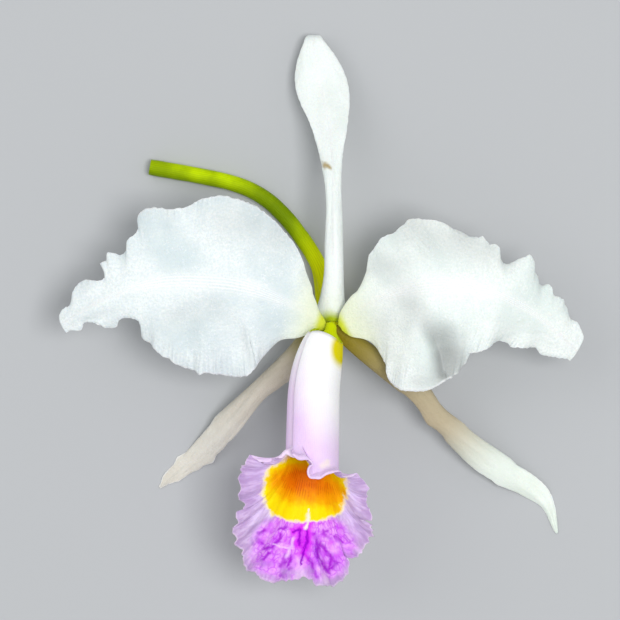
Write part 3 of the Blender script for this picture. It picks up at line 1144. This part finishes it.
class Value:
    """What a node puts out. It knows its tree, so a sum or a product of values finds its place."""

    def __init__(self, socket):
        self.socket, self.tree = socket, socket.id_data

    def __add__(self, other):
        return calc("ADD", self, other)

    def __sub__(self, other):
        return calc("SUBTRACT", self, other)

    def __rsub__(self, other):
        return calc("SUBTRACT", other, self)

    def __mul__(self, other):
        return calc("MULTIPLY", self, other)

    def __abs__(self):
        return calc("ABSOLUTE", self)


def feed(socket, value):
    """Links a value to an input, or sets the input to a plain number, place or colour."""
    if isinstance(value, Value):
        value.tree.links.new(value.socket, socket)
    else:
        socket.default_value = value


def add_node(tree, kind, inputs=(), **settings):
    """A new shader node with some of its settings, and with inputs fed by name or number."""
    made = tree.nodes.new("ShaderNode" + kind)
    for key, value in settings.items():
        setattr(made, key, value)
    for key, value in dict(inputs).items():
        feed(made.inputs[key], value)
    return made


def tree_of(values):
    """The tree that the first value among some numbers and values is in."""
    return next(value.tree for value in values if isinstance(value, Value))


def calc(operation, *values, clamp=False):
    """One Math node."""
    made = add_node(tree_of(values), "Math", enumerate(values), operation=operation, use_clamp=clamp)
    return Value(made.outputs[0])


def vector_calc(operation, first, second, output=0):
    """One Vector Math node."""
    inputs = {0: first, "Scale" if operation == "SCALE" else 1: second}
    made = add_node(tree_of((first, second)), "VectorMath", inputs, operation=operation)
    return Value(made.outputs[output])


print("a value adds, subtracts, multiplies and takes its size, each with one Math node")

# %% Rises, colours and noise


def rise(value, low, high, bottom=0.0, top=1.0):
    """A soft rise from bottom to top, as value goes from low to high."""
    inputs = enumerate((value, low, high, bottom, top))
    made = add_node(value.tree, "MapRange", inputs, interpolation_type="SMOOTHSTEP")
    return Value(made.outputs[0])


def colour(red, green, blue):
    """A colour given as 0 to 255 on a screen, in the linear numbers that Blender works in."""
    screen = np.array([red, green, blue]) / 255
    linear = np.where(screen <= 0.04045, screen / 12.92, ((screen + 0.055) / 1.055) ** 2.4)
    return (*linear.tolist(), 1.0)


def coats(base, *layers):
    """A base colour with others laid over it in turn. A layer is its share and its colour."""
    for share, tint in layers:
        first, second = (c if isinstance(c, Value) else colour(*c) for c in (base, tint))
        mix = add_node(share.tree, "Mix", data_type="RGBA")
        for index, value in ((0, share), (6, first), (7, second)):
            feed(mix.inputs[index], value)
        base = Value(mix.outputs[2])
    return base


def noise(place, scale, detail=2.0, roughness=0.5, output="Fac"):
    """Noise around one half."""
    inputs = {"Vector": place, "Scale": scale, "Detail": detail, "Roughness": roughness}
    return Value(add_node(place.tree, "TexNoise", inputs).outputs[output])


def flat_place(along, across):
    """A place made of two values, for a texture that lies flat on a sheet."""
    return Value(add_node(along.tree, "CombineXYZ", {0: along, 1: across}).outputs[0])


print("petal white in linear numbers:", [round(c, 3) for c in colour(240, 246, 247)])

# %% [markdown]
# ## Effects that several tissues share
#
# Petals, sepals and lip are the same kind of tissue, so some effects come back in their
# materials: the sparkle of bulging surface cells, veins that fan out from the claw, an unevenness
# of colour and thickness, and soft streaks. Each is a node group with named inputs and outputs,
# which gives out only masks and heights. Every material sets its own numbers on it. A rule says
# in values what the group works out, and one function makes the sockets round it.

# %% A rule becomes a node group
SOCKET_KINDS = {"VALUE": "NodeSocketFloat", "VECTOR": "NodeSocketVector"}
ANYWHERE = (0.0, 0.0, 0.0)


def make_group(name, rule, **inputs):
    """A node group that works out a rule. Its inputs are given with their defaults."""
    tree = bpy.data.node_groups.new(name, "ShaderNodeTree")
    for key, default in inputs.items():
        kind = SOCKET_KINDS["VECTOR" if isinstance(default, tuple) else "VALUE"]
        tree.interface.new_socket(key, in_out="INPUT", socket_type=kind).default_value = default
    given = tree.nodes.new("NodeGroupInput").outputs
    results = rule(*(Value(given[key]) for key in inputs))
    for key, value in results.items():
        kind = SOCKET_KINDS[value.socket.type]
        tree.interface.new_socket(key, in_out="OUTPUT", socket_type=kind)
    result = tree.nodes.new("NodeGroupOutput").inputs
    for key, value in results.items():
        feed(result[key], value)
    print(name, "takes", list(inputs), "and gives", list(results))
    return tree


def use_group(group, **inputs):
    """A group placed in a material, with its inputs fed. Returns what it gives, by name."""
    made = add_node(tree_of(inputs.values()), "Group", inputs, node_tree=group)
    return {output.name: Value(output) for output in made.outputs}


# %% Sparkling cells


def sparkling_cells(place, cells):
    """Bulging surface cells, some of which catch the light."""
    bubble = add_node(place.tree, "TexVoronoi", {"Vector": place, "Scale": cells}, feature="F1")
    dome = calc("SUBTRACT", 1.0, calc("POWER", Value(bubble.outputs["Distance"]), 2.0), clamp=True)
    drawn = add_node(place.tree, "SeparateColor", {0: Value(bubble.outputs["Color"])})
    bright = rise(Value(drawn.outputs[0]), 0.8, 1.0)
    patches = rise(noise(place, calc("DIVIDE", cells, 18.0)), 0.3, 0.65)
    return {"Height": dome * (Value(drawn.outputs[1]) + 0.5), "Glint": bright * patches}


CELLS = make_group("Sparkling cells", sparkling_cells, Place=ANYWHERE, Cells=3000.0)

# %% Fanning veins


def fanning_veins(across, along, place, count, spread, wander, width):
    """Vein lines that start at the claw and run off towards the margins."""
    fan = 1.0 - along * spread
    drift = noise(place, 90.0, detail=3.0) - 0.5
    phase = calc("FRACT", (across * fan + drift * wander) * count)
    line = rise(abs(phase - 0.5), 0.0, width, 1.0, 0.0)
    return {"Line": line, "Height": line * rise(along, 0.02, 0.2)}


VEINS = make_group("Fanning veins", fanning_veins, Across=0.0, Along=0.0, Place=ANYWHERE, Count=20.0,
                   Spread=0.6, Wander=0.03, Width=0.2)

# %% Uneven tissue and soft streaks


def uneven_tissue(place, patches, wrinkles):
    """Slow changes of thickness, and fine wrinkles."""
    return {"Share": noise(place, patches, detail=4.0),
            "Height": noise(place, wrinkles, detail=3.0, roughness=0.6)}


def soft_streaks(along, across, lengths, widths, low, high):
    """Noise over a sheet's own directions, drawn out along one of them where the other has more."""
    return {"Mask": rise(noise(flat_place(along * lengths, across * widths), 1.0), low, high)}


TISSUE = make_group("Uneven tissue", uneven_tissue, Place=ANYWHERE, Patches=80.0, Wrinkles=600.0)
STREAKS = make_group("Soft streaks", soft_streaks, Along=0.0, Across=0.0, Lengths=20.0, Widths=20.0,
                     Low=0.42, High=0.62)

# %% [markdown]
# ### Brush strokes
#
# Some marks lie in one place only, such as the dark strokes on the lobe. A painted texture could
# hold them, but strokes between listed places stay sharp at every size and can be moved by hand.
# A stroke is dark where the surface is close to a line in plan. It would look ruled, so the place
# that it reads is moved a little by noise first, and then the stroke wavers as a living mark does.

# %% Strokes that waver
TREMBLE_SCALE, TREMBLE_REACH = 420.0, 2.4 * MM


def scattered(place, scale, reach):
    """Noise that points every way, around zero."""
    every_way = noise(place, scale, output="Color")
    return vector_calc("SCALE", vector_calc("SUBTRACT", every_way, (0.5, 0.5, 0.5)), reach)


def trembling_plan(place):
    """The place in plan, moved a little this way and that."""
    moved = vector_calc("ADD", place, scattered(place, TREMBLE_SCALE, TREMBLE_REACH))
    return {"Plan": vector_calc("MULTIPLY", moved, (1.0, 1.0, 0.0))}


def brush_stroke(place, start, stop, width):
    """A stroke between two places in plan, soft at its sides."""
    line = vector_calc("SUBTRACT", stop, start)
    offset = vector_calc("SUBTRACT", place, start)
    reached = (vector_calc("DOT_PRODUCT", step, line, 1) for step in (offset, line))
    nearest = vector_calc("SCALE", line, calc("DIVIDE", *reached, clamp=True))
    return {"Mask": rise(vector_calc("DISTANCE", offset, nearest, 1), 0.0, width, 1.0, 0.0)}


PLAN = make_group("Trembling plan", trembling_plan, Place=ANYWHERE)
STROKE = make_group("Brush stroke", brush_stroke, Place=ANYWHERE, Start=ANYWHERE, Stop=ANYWHERE,
                    Width=0.5 * MM)


def strokes(plan, table, spread=1.0):
    """The strongest of several strokes. The table holds bent lines in plan under a half width."""
    total = None
    for width, lines in table.items():
        for start, stop in (ends for line in lines for ends in zip(line, line[1:])):
            start, stop = (tuple(to_frame([*end, 0]) * (1, 1, 0)) for end in (start, stop))
            stroke = use_group(STROKE, Place=plan, Start=start, Stop=stop, Width=spread * width * MM)
            total = stroke["Mask"] if total is None else calc("MAXIMUM", total, stroke["Mask"])
    return total


print("strokes waver by up to", TREMBLE_REACH / MM / 2, "mm")

# %% [markdown]
# ## Plant skin
#
# Every tissue here is a soft satin skin: light goes a little way in and comes out again, and a
# thin wax on top gives a broad dull shine. One class makes the Principled shader with its
# constants and the places that textures read. Each material then works out its colour, its
# roughness and its bump, in which all heights are in millimetres.

# %% The skin that all tissues start from
SUBSURFACE_DEPTH, SUBSURFACE_TINT = 0.8 * MM, (1.0, 0.8, 0.6)


class Skin:
    """A material with a Principled shader, and what its textures read."""

    def __init__(self, name, subsurface, specular):
        self.material = bpy.data.materials.new(name)
        self.material.use_nodes = True
        self.tree = self.material.node_tree
        self.shader = self.tree.nodes["Principled BSDF"].inputs
        self.shader["Subsurface Weight"].default_value = subsurface
        self.shader["Subsurface Radius"].default_value = SUBSURFACE_TINT
        self.shader["Subsurface Scale"].default_value = SUBSURFACE_DEPTH
        self.shader["Specular IOR Level"].default_value = specular
        self.place = Value(add_node(self.tree, "TexCoord").outputs["Object"])
        blade = Value(add_node(self.tree, "UVMap", uv_map="blade").outputs["UV"])
        split = add_node(self.tree, "SeparateXYZ", {0: blade}).outputs
        self.along, self.across = Value(split[0]), Value(split[1])

    def mark(self, name):
        """A number that the mesh keeps for each point."""
        return Value(add_node(self.tree, "Attribute", attribute_name=name).outputs["Fac"])

    def finish(self, base, roughness, heights):
        """Feeds the shader. Heights are (height, depth in millimetres)."""
        total = None
        for height, depth in heights:
            scaled = height * (depth * MM)
            total = scaled if total is None else total + scaled
        bump = add_node(self.tree, "Bump", {"Distance": 1.0, "Height": total})
        feed(self.shader["Base Color"], base)
        feed(self.shader["Roughness"], roughness)
        feed(self.shader["Normal"], Value(bump.outputs[0]))


def dress(piece, skin):
    """Gives a piece its skin."""
    piece.data.materials.clear()
    piece.data.materials.append(skin.material)
    print(skin.material.name, "is on", piece.name, "with", len(skin.tree.nodes), "nodes")


print("light goes", SUBSURFACE_DEPTH / MM, "mm into every skin")

# %% [markdown]
# ### White petals and sepals
#
# A white petal holds no white colour at all: it is clear tissue full of air, so it is white as
# snow is. It is cool in the blade, and warmer and greener where it is thick, at the claw. Fine
# raised ribs run along its middle, and its crimped margin shows as short grey flutes. Where the
# mesh is marked as hollow, in the valleys of the folds, it is duller. Petals and sepals take one
# recipe with different tints, and the dorsal sepal gets its small brown bruise with a stroke.

# %% The white tissue
WHITE, RIB_WHITE, FLUTE_GREY = (255, 255, 255), (250, 252, 250), (200, 208, 212)
HOLLOW_GREY, BRUISE_BROWN = (178, 182, 180), (160, 130, 36)


def white_tissue(name, blade, shade, claw, claw_range, foot, foot_reach, midrib=0.1, pleats=0.0,
                 grain=1.0, edge_from=0.97, bruise=None):
    """White tissue that turns to the claw's tint and to another one at its very foot."""
    skin = Skin(name, subsurface=0.12, specular=0.2)
    place, along, across, hollow = skin.place, skin.along, skin.across, skin.mark("hollow")
    aside = across * 2.0 - 1.0
    middle = abs(aside)
    cells = use_group(CELLS, Place=place, Cells=2600.0)
    tissue = use_group(TISSUE, Place=place, Patches=55.0, Wrinkles=900.0)
    ribs = use_group(VEINS, Across=aside, Along=along, Place=place, Count=34.0, Spread=0.4, Width=0.3)
    flutes = use_group(STREAKS, Along=along, Across=across, Lengths=130.0, Widths=5.0)
    mottle = noise(place, 1500.0, roughness=0.6)
    rib = ribs["Height"] * rise(middle, 0.03, 0.12, midrib, 0.0)
    rim = middle + (noise(place, 160.0) - 0.5) * 0.9
    lower_side = rise(across, 0.3, 0.7, pleats, 0.45 * pleats)
    flute = flutes["Mask"] * rise(rim, 0.6, 1.05) * lower_side * rise(hollow, 0.02, 0.2, 1.0, 0.0)
    base = coats(
        blade,
        (rise(tissue["Share"], 0.35, 0.65), shade),
        (rise(mottle, 0.3, 0.7, 0.0, 0.6 * grain), shade),
        (rise(middle, 0.02, 0.22, 0.35 * midrib, 0.0), RIB_WHITE),
        (rib, WHITE),
        (flute * 0.4, FLUTE_GREY),
        (cells["Glint"] * (0.4 * grain), WHITE),
        (hollow, HOLLOW_GREY),
        (rise(middle, edge_from, 1.0, 0.0, 0.6), WHITE),
    )
    if bruise:
        base = coats(base, (strokes(use_group(PLAN, Place=place)["Plan"], bruise) * 0.8, BRUISE_BROWN))
    ragged = along + (tissue["Share"] - 0.5) * 0.12
    base = coats(base, (rise(ragged, *claw_range, 0.85, 0.0), claw),
                 (rise(ragged, 0.0, foot_reach, 1.0, 0.0), foot))
    skin.finish(base, rise(cells["Height"], 0.2, 1.2, 0.62, 0.46),
                [(cells["Height"], 0.05), (rib, 0.05), (flute, -0.07), (tissue["Height"], 0.17 * grain),
                 (mottle, 0.12 * grain)])
    return skin


print("petal tissue turns dull grey in its hollows:", HOLLOW_GREY)

# %% The tints of petals and sepals
PETAL_FOOT, PETAL_CLAW_RANGE = ((214, 222, 60), 0.034), (0, 0.2)
BRUISE = {1.3: [[(-1.8, 45.9), (-0.3, 44.9)]]}  # half width, and a line in plan

dress(petal_left, white_tissue("petal_white", (243, 248, 247), (214, 226, 228), (232, 238, 204),
                               PETAL_CLAW_RANGE, *PETAL_FOOT, midrib=0.75, pleats=1.0))
dress(petal_right, white_tissue("petal_pearl", (249, 254, 250), (224, 234, 230), (234, 240, 206),
                                PETAL_CLAW_RANGE, *PETAL_FOOT, midrib=0.8, pleats=1.0))
dress(sepals[0], white_tissue("dorsal_white", (244, 249, 246), (230, 238, 233), (240, 246, 234), (0, 0.15),
                              (176, 194, 8), 0.036, midrib=0.6, grain=0.6, bruise=BRUISE))
dress(sepals[1], white_tissue("left_white", (229, 226, 215), (213, 208, 196), (190, 176, 150), (0, 0.7),
                              (140, 128, 15), 0.22, grain=0.45, edge_from=0.9))
dress(sepals[2], white_tissue("right_white", (247, 254, 247), (232, 241, 230), (182, 162, 124),
                              (0.44, 0.72), (140, 124, 0), 0.44, grain=0.6, edge_from=0.9))

# %% [markdown]
# ### The lip's skin
#
# Outside, the lip is white that turns to lilac at its laps and towards its mouth, with a yellow
# patch by the column and a cream touch at the mouth. Inside, the flare is lilac with fine grey
# veins and dusky streaks, and purple in the middle of the lobe, where the veins make a net. Magenta
# stripes, purple strokes and pale ones lie over it. The throat is yellow to deep orange with dark
# streaks that guide a bee in. Both skins are one material, which the mark upper_side tells apart.

# %% The lip's outside, and a net of veins
LAP_WHITE, LAP_LILAC = (254, 254, 252), (238, 210, 247)
LAP_VEIN, LAP_RIM = (222, 186, 240), (255, 234, 255)
MOUTH_CREAM, PATCH_YELLOW = (255, 246, 214), (224, 210, 0)
MOUTH_TINT = {1.7: [[(-2.4, -39.4), (-1.4, -38.6)]]}  # half width, and a line in plan


def lip_outside(skin, plan, tissue, veins):
    """The colour of the lip's outer skin, which is the tube as seen from above."""
    along, across = skin.along, skin.across
    laps = calc("MAXIMUM", rise(across, 0.2, 0.5, 1.0, 0.0), rise(across, 0.86, 1.0, 0.0, 0.7))
    sides = laps + rise(along, 0.22, 0.46, 0.0, 0.95)
    uneven = (tissue["Share"] - 0.5) * 0.5
    return coats(
        LAP_WHITE,
        (calc("ADD", sides * rise(along, 0.06, 0.3), uneven, clamp=True), LAP_LILAC),
        (veins["Line"] * 0.12, LAP_VEIN),
        (rise(across, 0.06, 0.2, 0.7, 0.0), LAP_RIM),
        (strokes(plan, MOUTH_TINT) * 0.5, MOUTH_CREAM),
        (rise(skin.mark("patch"), 0.1, 0.6), PATCH_YELLOW),
    )


def vein_net(skin, lengths, widths):
    """A net of veins whose meshes are stretched along the lip. Gives 1 on a vein."""
    flat = flat_place(skin.along * lengths, skin.across * widths)
    bent = vector_calc("ADD", flat, scattered(skin.place, 500.0, 1.2))
    meshes = add_node(skin.tree, "TexVoronoi", feature="DISTANCE_TO_EDGE", voronoi_dimensions="2D")
    feed(meshes.inputs["Vector"], bent)
    feed(meshes.inputs["Scale"], 1.0)
    return rise(Value(meshes.outputs["Distance"]), 0.0, 0.22, 1.0, 0.0)


print("the tube turns from", LAP_WHITE, "to", LAP_LILAC)

# %% Where the strokes of the lobe lie
# bent lines in plan, in millimetres from the heart, under the half width of their strokes
STRIPES = {
    0.75: [[(-8.8, -57.9), (-8.8, -62.4)]],
    0.65: [[(-6.8, -60.2), (-7.2, -63.1)]],
    0.6: [[(-6.5, -56.5), (-6.8, -60.2)], [(-7.7, -63.3), (-8, -65.6), (-8.6, -68.1)]],
    0.4: [[(-10.8, -58.8), (-9, -57.9)]],
}
INK = {
    0.85: [[(-7.7, -65.6), (-5.5, -67.8), (-4.8, -70.4), (-4.4, -71.9)], [(-4, -61.9), (-3.8, -66.1)],
           [(-4, -61.6), (-2, -63.3), (-0.1, -65.7)], [(-15, -61.3), (-16.4, -63)],
           [(-19.6, -61), (-20.7, -60.7)], [(-13.3, -67.2), (-14.3, -68.2)],
           [(-13.6, -71.2), (-11.6, -69.5)]],
    0.68: [[(-0.1, -65.7), (1.1, -67.2)], [(-5, -59.6), (-4, -61)], [(-3.6, -66.1), (-0.9, -70)],
           [(-0.1, -65.8), (-0.4, -69.5), (1.6, -67.5)], [(1.1, -60.2), (3.1, -61.6)],
           [(-14.2, -59.9), (-15, -61.3)], [(-16.4, -63), (-19, -63.3)], [(-13.3, -65.3), (-13.3, -67.2)],
           [(-17.9, -64.7), (-19.8, -66.7)]],
    0.59: [[(-1.2, -57.9), (-2.3, -59.3), (-0.3, -61)], [(-18.4, -57.9), (-20.4, -58.8)],
           [(-11.4, -66.1), (-12.5, -68.4)], [(-14.8, -58.2), (-13, -57.4)]],
    0.51: [[(-24.1, -61.6), (-23, -59.6), (-21.8, -61.9)]],
}
PALE = {
    0.5: [[(-16.3, -62.4), (-11, -63.7)]], 1.1: [[(-10.6, -61), (-12.4, -65.5)]],
    2.4: [[(-8.9, -67), (-8.6, -71.6)]], 1.6: [[(-3.4, -69.5), (-1.6, -73)]],
}
KEEL = {
    1.2: [[(-11.9, -36.4), (-13.3, -38.3)]], 0.5: [[(-6.3, -52.3), (-6.5, -54)]],
    1.0: [[(-6.5, -54), (-7.1, -57.6)]],
}
for title, table in {"stripes": STRIPES, "ink": INK, "pale": PALE, "keel": KEEL}.items():
    print(title, "has", sum(len(line) - 1 for lines in table.values() for line in lines), "strokes")

# %% The colour of the lobe
LILAC, DUSKY_LILAC, MARGIN_LILAC = (234, 214, 250), (208, 180, 230), (207, 176, 218)
STREAK_GREY, VEIN_GREY, CRIMP_GREY = (166, 132, 190), (172, 142, 196), (178, 142, 194)
EDGE_LIGHT, PALE_STROKE = (250, 232, 252), (252, 222, 255)
PURPLE, DEEP_PURPLE, NET_PURPLE = (240, 174, 254), (218, 108, 250), (196, 44, 236)
INK_PURPLE, MAGENTA, STRIPE_PURPLE = (166, 0, 208), (222, 24, 246), (158, 0, 206)
INK_SPREAD, MAGENTA_SPREAD = 1.5, 4.4  # how far a stroke runs out beyond its half width


def lip_inside(skin, plan, tissue, veins, crinkle):
    """The colour of the lip's inner skin, away from the throat."""
    blush, flare = skin.mark("blush"), skin.mark("flare")
    dusky = use_group(STREAKS, Along=skin.along, Across=skin.across, Lengths=16.0, Widths=60.0, Low=0.45,
                      High=0.68)["Mask"]
    patchy = rise(noise(skin.place, 240.0), 0.32, 0.62, 0.15, 1.0)
    lilac = coats(
        LILAC,
        (rise(tissue["Share"], 0.3, 0.7), DUSKY_LILAC),
        (rise(flare, 0.6, 0.95, 0.0, 0.7), MARGIN_LILAC),
        (dusky * rise(flare, 0.35, 0.7, 0.0, 0.5), STREAK_GREY),
        (veins["Line"] * patchy * 0.22, VEIN_GREY),
        (crinkle * 0.5, CRIMP_GREY),
        (rise(flare, 0.975, 1.0, 0.0, 0.6), EDGE_LIGHT),
    )
    net = calc("MAXIMUM", vein_net(skin, 48.0, 110.0), veins["Line"] * 0.4) * patchy
    cloud = rise(noise(skin.place, 380.0, detail=3.0), 0.3, 0.7)
    ink = strokes(plan, INK, INK_SPREAD) * rise(patchy, 0.1, 0.9, 0.6, 1.0)
    purple = coats(PURPLE, (cloud, DEEP_PURPLE), (net * 0.65, NET_PURPLE), (ink * 0.9, INK_PURPLE))
    soft = blush + (tissue["Share"] - 0.5) * 0.9
    inward = rise(flare + cloud * 0.12, 0.92, 1.08, 1.0, 0.3)
    return coats(
        lilac,
        (rise(soft, 0.1, 0.75) * inward, purple),
        (strokes(plan, STRIPES, MAGENTA_SPREAD) * 0.95, MAGENTA),
        (strokes(plan, PALE) * 0.6, PALE_STROKE),
        (strokes(plan, STRIPES), STRIPE_PURPLE),
    )


print("the lobe turns from", LILAC, "to", PURPLE)

# %% The throat, and the whole lip
DEEP_ORANGE, ORANGE, YELLOW, GUIDE_BROWN = (232, 118, 0), (249, 168, 0), (255, 228, 0), (188, 76, 0)
THROAT_CREAM, KEEL_WHITE, LIP_FOOT = (254, 240, 205), (254, 242, 232), (182, 198, 0)


def throat_colour(skin, base, plan):
    """Lays the throat's yellow and orange over the inner skin, and the pale keel over both."""
    throat, glow = skin.mark("throat"), skin.mark("glow")
    guides = use_group(VEINS, Across=skin.across, Place=skin.place, Count=96.0, Spread=0.0, Wander=0.014,
                       Width=0.34)["Line"]
    fingers = noise(skin.place, 480.0, detail=3.0) - 0.5
    ragged = throat + fingers * 0.3
    deep = glow + fingers * 0.4
    dark = guides * rise(noise(skin.place, 420.0), 0.4, 0.6) * rise(glow, 0.3, 1.0, 0.65, 0.0)
    pigment = coats(DEEP_ORANGE, (rise(deep, 0.3, 0.75), ORANGE), (rise(deep, 0.68, 1.12), YELLOW),
                    (dark, GUIDE_BROWN), (rise(ragged, 0.96, 1.05), THROAT_CREAM))
    return coats(pigment, (rise(ragged, 1.0, 1.1), base), (strokes(plan, KEEL) * 0.9, KEEL_WHITE))


def lip_skin():
    """The lip's material, with its outer and its inner skin."""
    skin = Skin("lip_skin", subsurface=0.12, specular=0.08)
    place, along, across = skin.place, skin.along, skin.across
    cells = use_group(CELLS, Place=place, Cells=3200.0)
    tissue = use_group(TISSUE, Place=place, Patches=110.0, Wrinkles=1100.0)
    veins = use_group(VEINS, Across=across, Along=along, Place=place, Count=104.0, Spread=0.0, Wander=0.05)
    fine = use_group(STREAKS, Along=along, Across=across, Lengths=26.0, Widths=190.0)["Mask"]
    plan = use_group(PLAN, Place=place)["Plan"]
    crinkle = fine * rise(skin.mark("flare") + tissue["Share"] * 0.6, 0.65, 1.15)
    inner = throat_colour(skin, lip_inside(skin, plan, tissue, veins, crinkle), plan)
    base = coats(lip_outside(skin, plan, tissue, veins), (skin.mark("upper_side"), inner),
                 (rise(along, 0.036, 0.05, 1.0, 0.0), LIP_FOOT))
    skin.finish(base, rise(cells["Height"], 0.2, 1.2, 0.6, 0.4),
                [(cells["Height"], 0.035), (veins["Height"], 0.012), (crinkle, -0.06),
                 (tissue["Height"], 0.07)])
    return skin


dress(lip, lip_skin())

# %% [markdown]
# ### Column, cap, pollinia and stalk
#
# These are waxy and juicy, so they are smoother than the blades. The column turns from yellow
# green at its foot to cream, the pollinia are the yellow of beeswax, and the stalk is green,
# mottled and lightly veined along its length, deeper in colour along one flank and where it bends.

# %% Waxy tissue in two tints
STALK_BEND = 0.52  # share of the stalk's length where it turns flat onto the table


def waxy_tissue(name, near, far, low, high, streak, flank=0.0, bend=0.0, roughness=0.38):
    """Waxy tissue that turns from one tint to another, with a streak on a flank and at a bend."""
    skin = Skin(name, subsurface=0.1, specular=0.06)
    place, along, across = skin.place, skin.along, skin.across
    tissue = use_group(TISSUE, Place=place, Patches=90.0, Wrinkles=1300.0)
    veins = use_group(VEINS, Across=across, Along=along, Place=place, Count=22.0, Spread=0.0, Wander=0.04,
                      Width=0.4)
    mottled = rise(tissue["Share"], 0.35, 0.7, 0.0, 0.6) * rise(along, 0.6 * high, high)
    on_flank = rise(abs(across - 0.5), 0.05, 0.34, flank, 0.0) * rise(along, 0.26, 0.46, 0.3, 1.0)
    at_bend = rise(abs(along - STALK_BEND), 0.04, 0.22, bend, 0.0)
    layers = [(share, streak) for share in (mottled, veins["Line"] * 0.15, on_flank, at_bend)]
    base = coats(near, (rise(along, low, high), far), *layers)
    skin.finish(base, rise(tissue["Height"], 0.3, 0.7, roughness, roughness + 0.15),
                [(veins["Height"], 0.05), (tissue["Height"], 0.04)])
    return skin


dress(column, waxy_tissue("column_wax", (196, 210, 0), (240, 240, 196), 0.35, 0.6, (160, 178, 0)))
dress(anther_cap, waxy_tissue("cap_wax", (243, 236, 203), (248, 244, 220), 0, 1, (230, 220, 170)))
dress(pollinia, waxy_tissue("pollinia_wax", (242, 197, 58), (246, 206, 70), 0, 1, (224, 170, 30)))
dress(stalk, waxy_tissue("stalk_green", (255, 255, 0), (204, 232, 0), 0.1, 0.5, (96, 124, 0), flank=0.6,
                         bend=0.65))

# %% [markdown]
# ## Table, light and camera
#
# The bloom lies on a plain pale table. A wide soft light stands high to the right and does most
# of the work, a fainter one fills from the upper left, and the bright room around keeps the
# shadows open. The camera looks straight down through a long lens, so that near and far petals
# keep their sizes.

# %% The table
TABLE_HALF = 3.0
TABLE_GREY = (186, 188, 190)
table_mesh = bpy.data.meshes.new("table_top")
table_corners = [(x * TABLE_HALF, y * TABLE_HALF, 0) for x, y in ((-1, -1), (1, -1), (1, 1), (-1, 1))]
table_mesh.from_pydata(table_corners, [], [(0, 1, 2, 3)])
table = bpy.data.objects.new("table_top", table_mesh)
bpy.context.scene.collection.objects.link(table)
paint = bpy.data.materials.new("table_paint")
paint.use_nodes = True
TABLE_FINISH = {"Base Color": colour(*TABLE_GREY), "Roughness": 0.85, "Specular IOR Level": 0.1}
for key, value in TABLE_FINISH.items():
    feed(paint.node_tree.nodes["Principled BSDF"].inputs[key], value)
table_mesh.materials.append(paint)
table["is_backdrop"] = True
print("table top is", 2 * TABLE_HALF, "m across")

# %% The lights
ROOM_TINT, ROOM_STRENGTH = (0.96, 0.98, 1.0, 1.0), 0.53


def soft_light(name, place, size, watts):
    """A square area light that faces the bloom."""
    data = bpy.data.lights.new(name, "AREA")
    data.energy, data.size = watts, size
    light = bpy.data.objects.new(name, data)
    light.location = place
    light.rotation_euler = (-Vector(place)).to_track_quat("-Z", "Y").to_euler()
    bpy.context.scene.collection.objects.link(light)
    print(name, "gives", watts, "W from", place)


soft_light("window_light", (0.27, -0.04, 1.2), size=0.45, watts=8)
soft_light("fill_light", (-0.6, 0.3, 0.8), size=0.8, watts=2)
room = bpy.data.worlds.new("room")
room.use_nodes = True
feed(room.node_tree.nodes["Background"].inputs["Color"], ROOM_TINT)
feed(room.node_tree.nodes["Background"].inputs["Strength"], ROOM_STRENGTH)
bpy.context.scene.world = room
bpy.context.scene.view_settings.view_transform = "Standard"

# %% The camera
CAMERA_PLACE = [-5.985, 3.99, 1008.0]  # in millimetres from the heart
LENS_MM, SENSOR_MM = 200, 36
camera_data = bpy.data.cameras.new("camera")
camera_data.lens, camera_data.sensor_width, camera_data.clip_end = LENS_MM, SENSOR_MM, 20
camera = bpy.data.objects.new("camera", camera_data)
camera.location = to_frame(CAMERA_PLACE)
bpy.context.scene.collection.objects.link(camera)
bpy.context.scene.camera = camera
print("camera looks straight down from", round(camera.location.z, 3), "m")

# %% [markdown]
# ## Compare the sizes and finish
#
# The skins must not be bigger than the part.

# %% Write both boxes and finish
shown_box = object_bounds()
boxes = (("cad", cad_box), ("shown", shown_box))
for name, (lowest, highest) in boxes:
    print(name, "box:", [round(side / MM, 1) for side in highest - lowest], "mm")
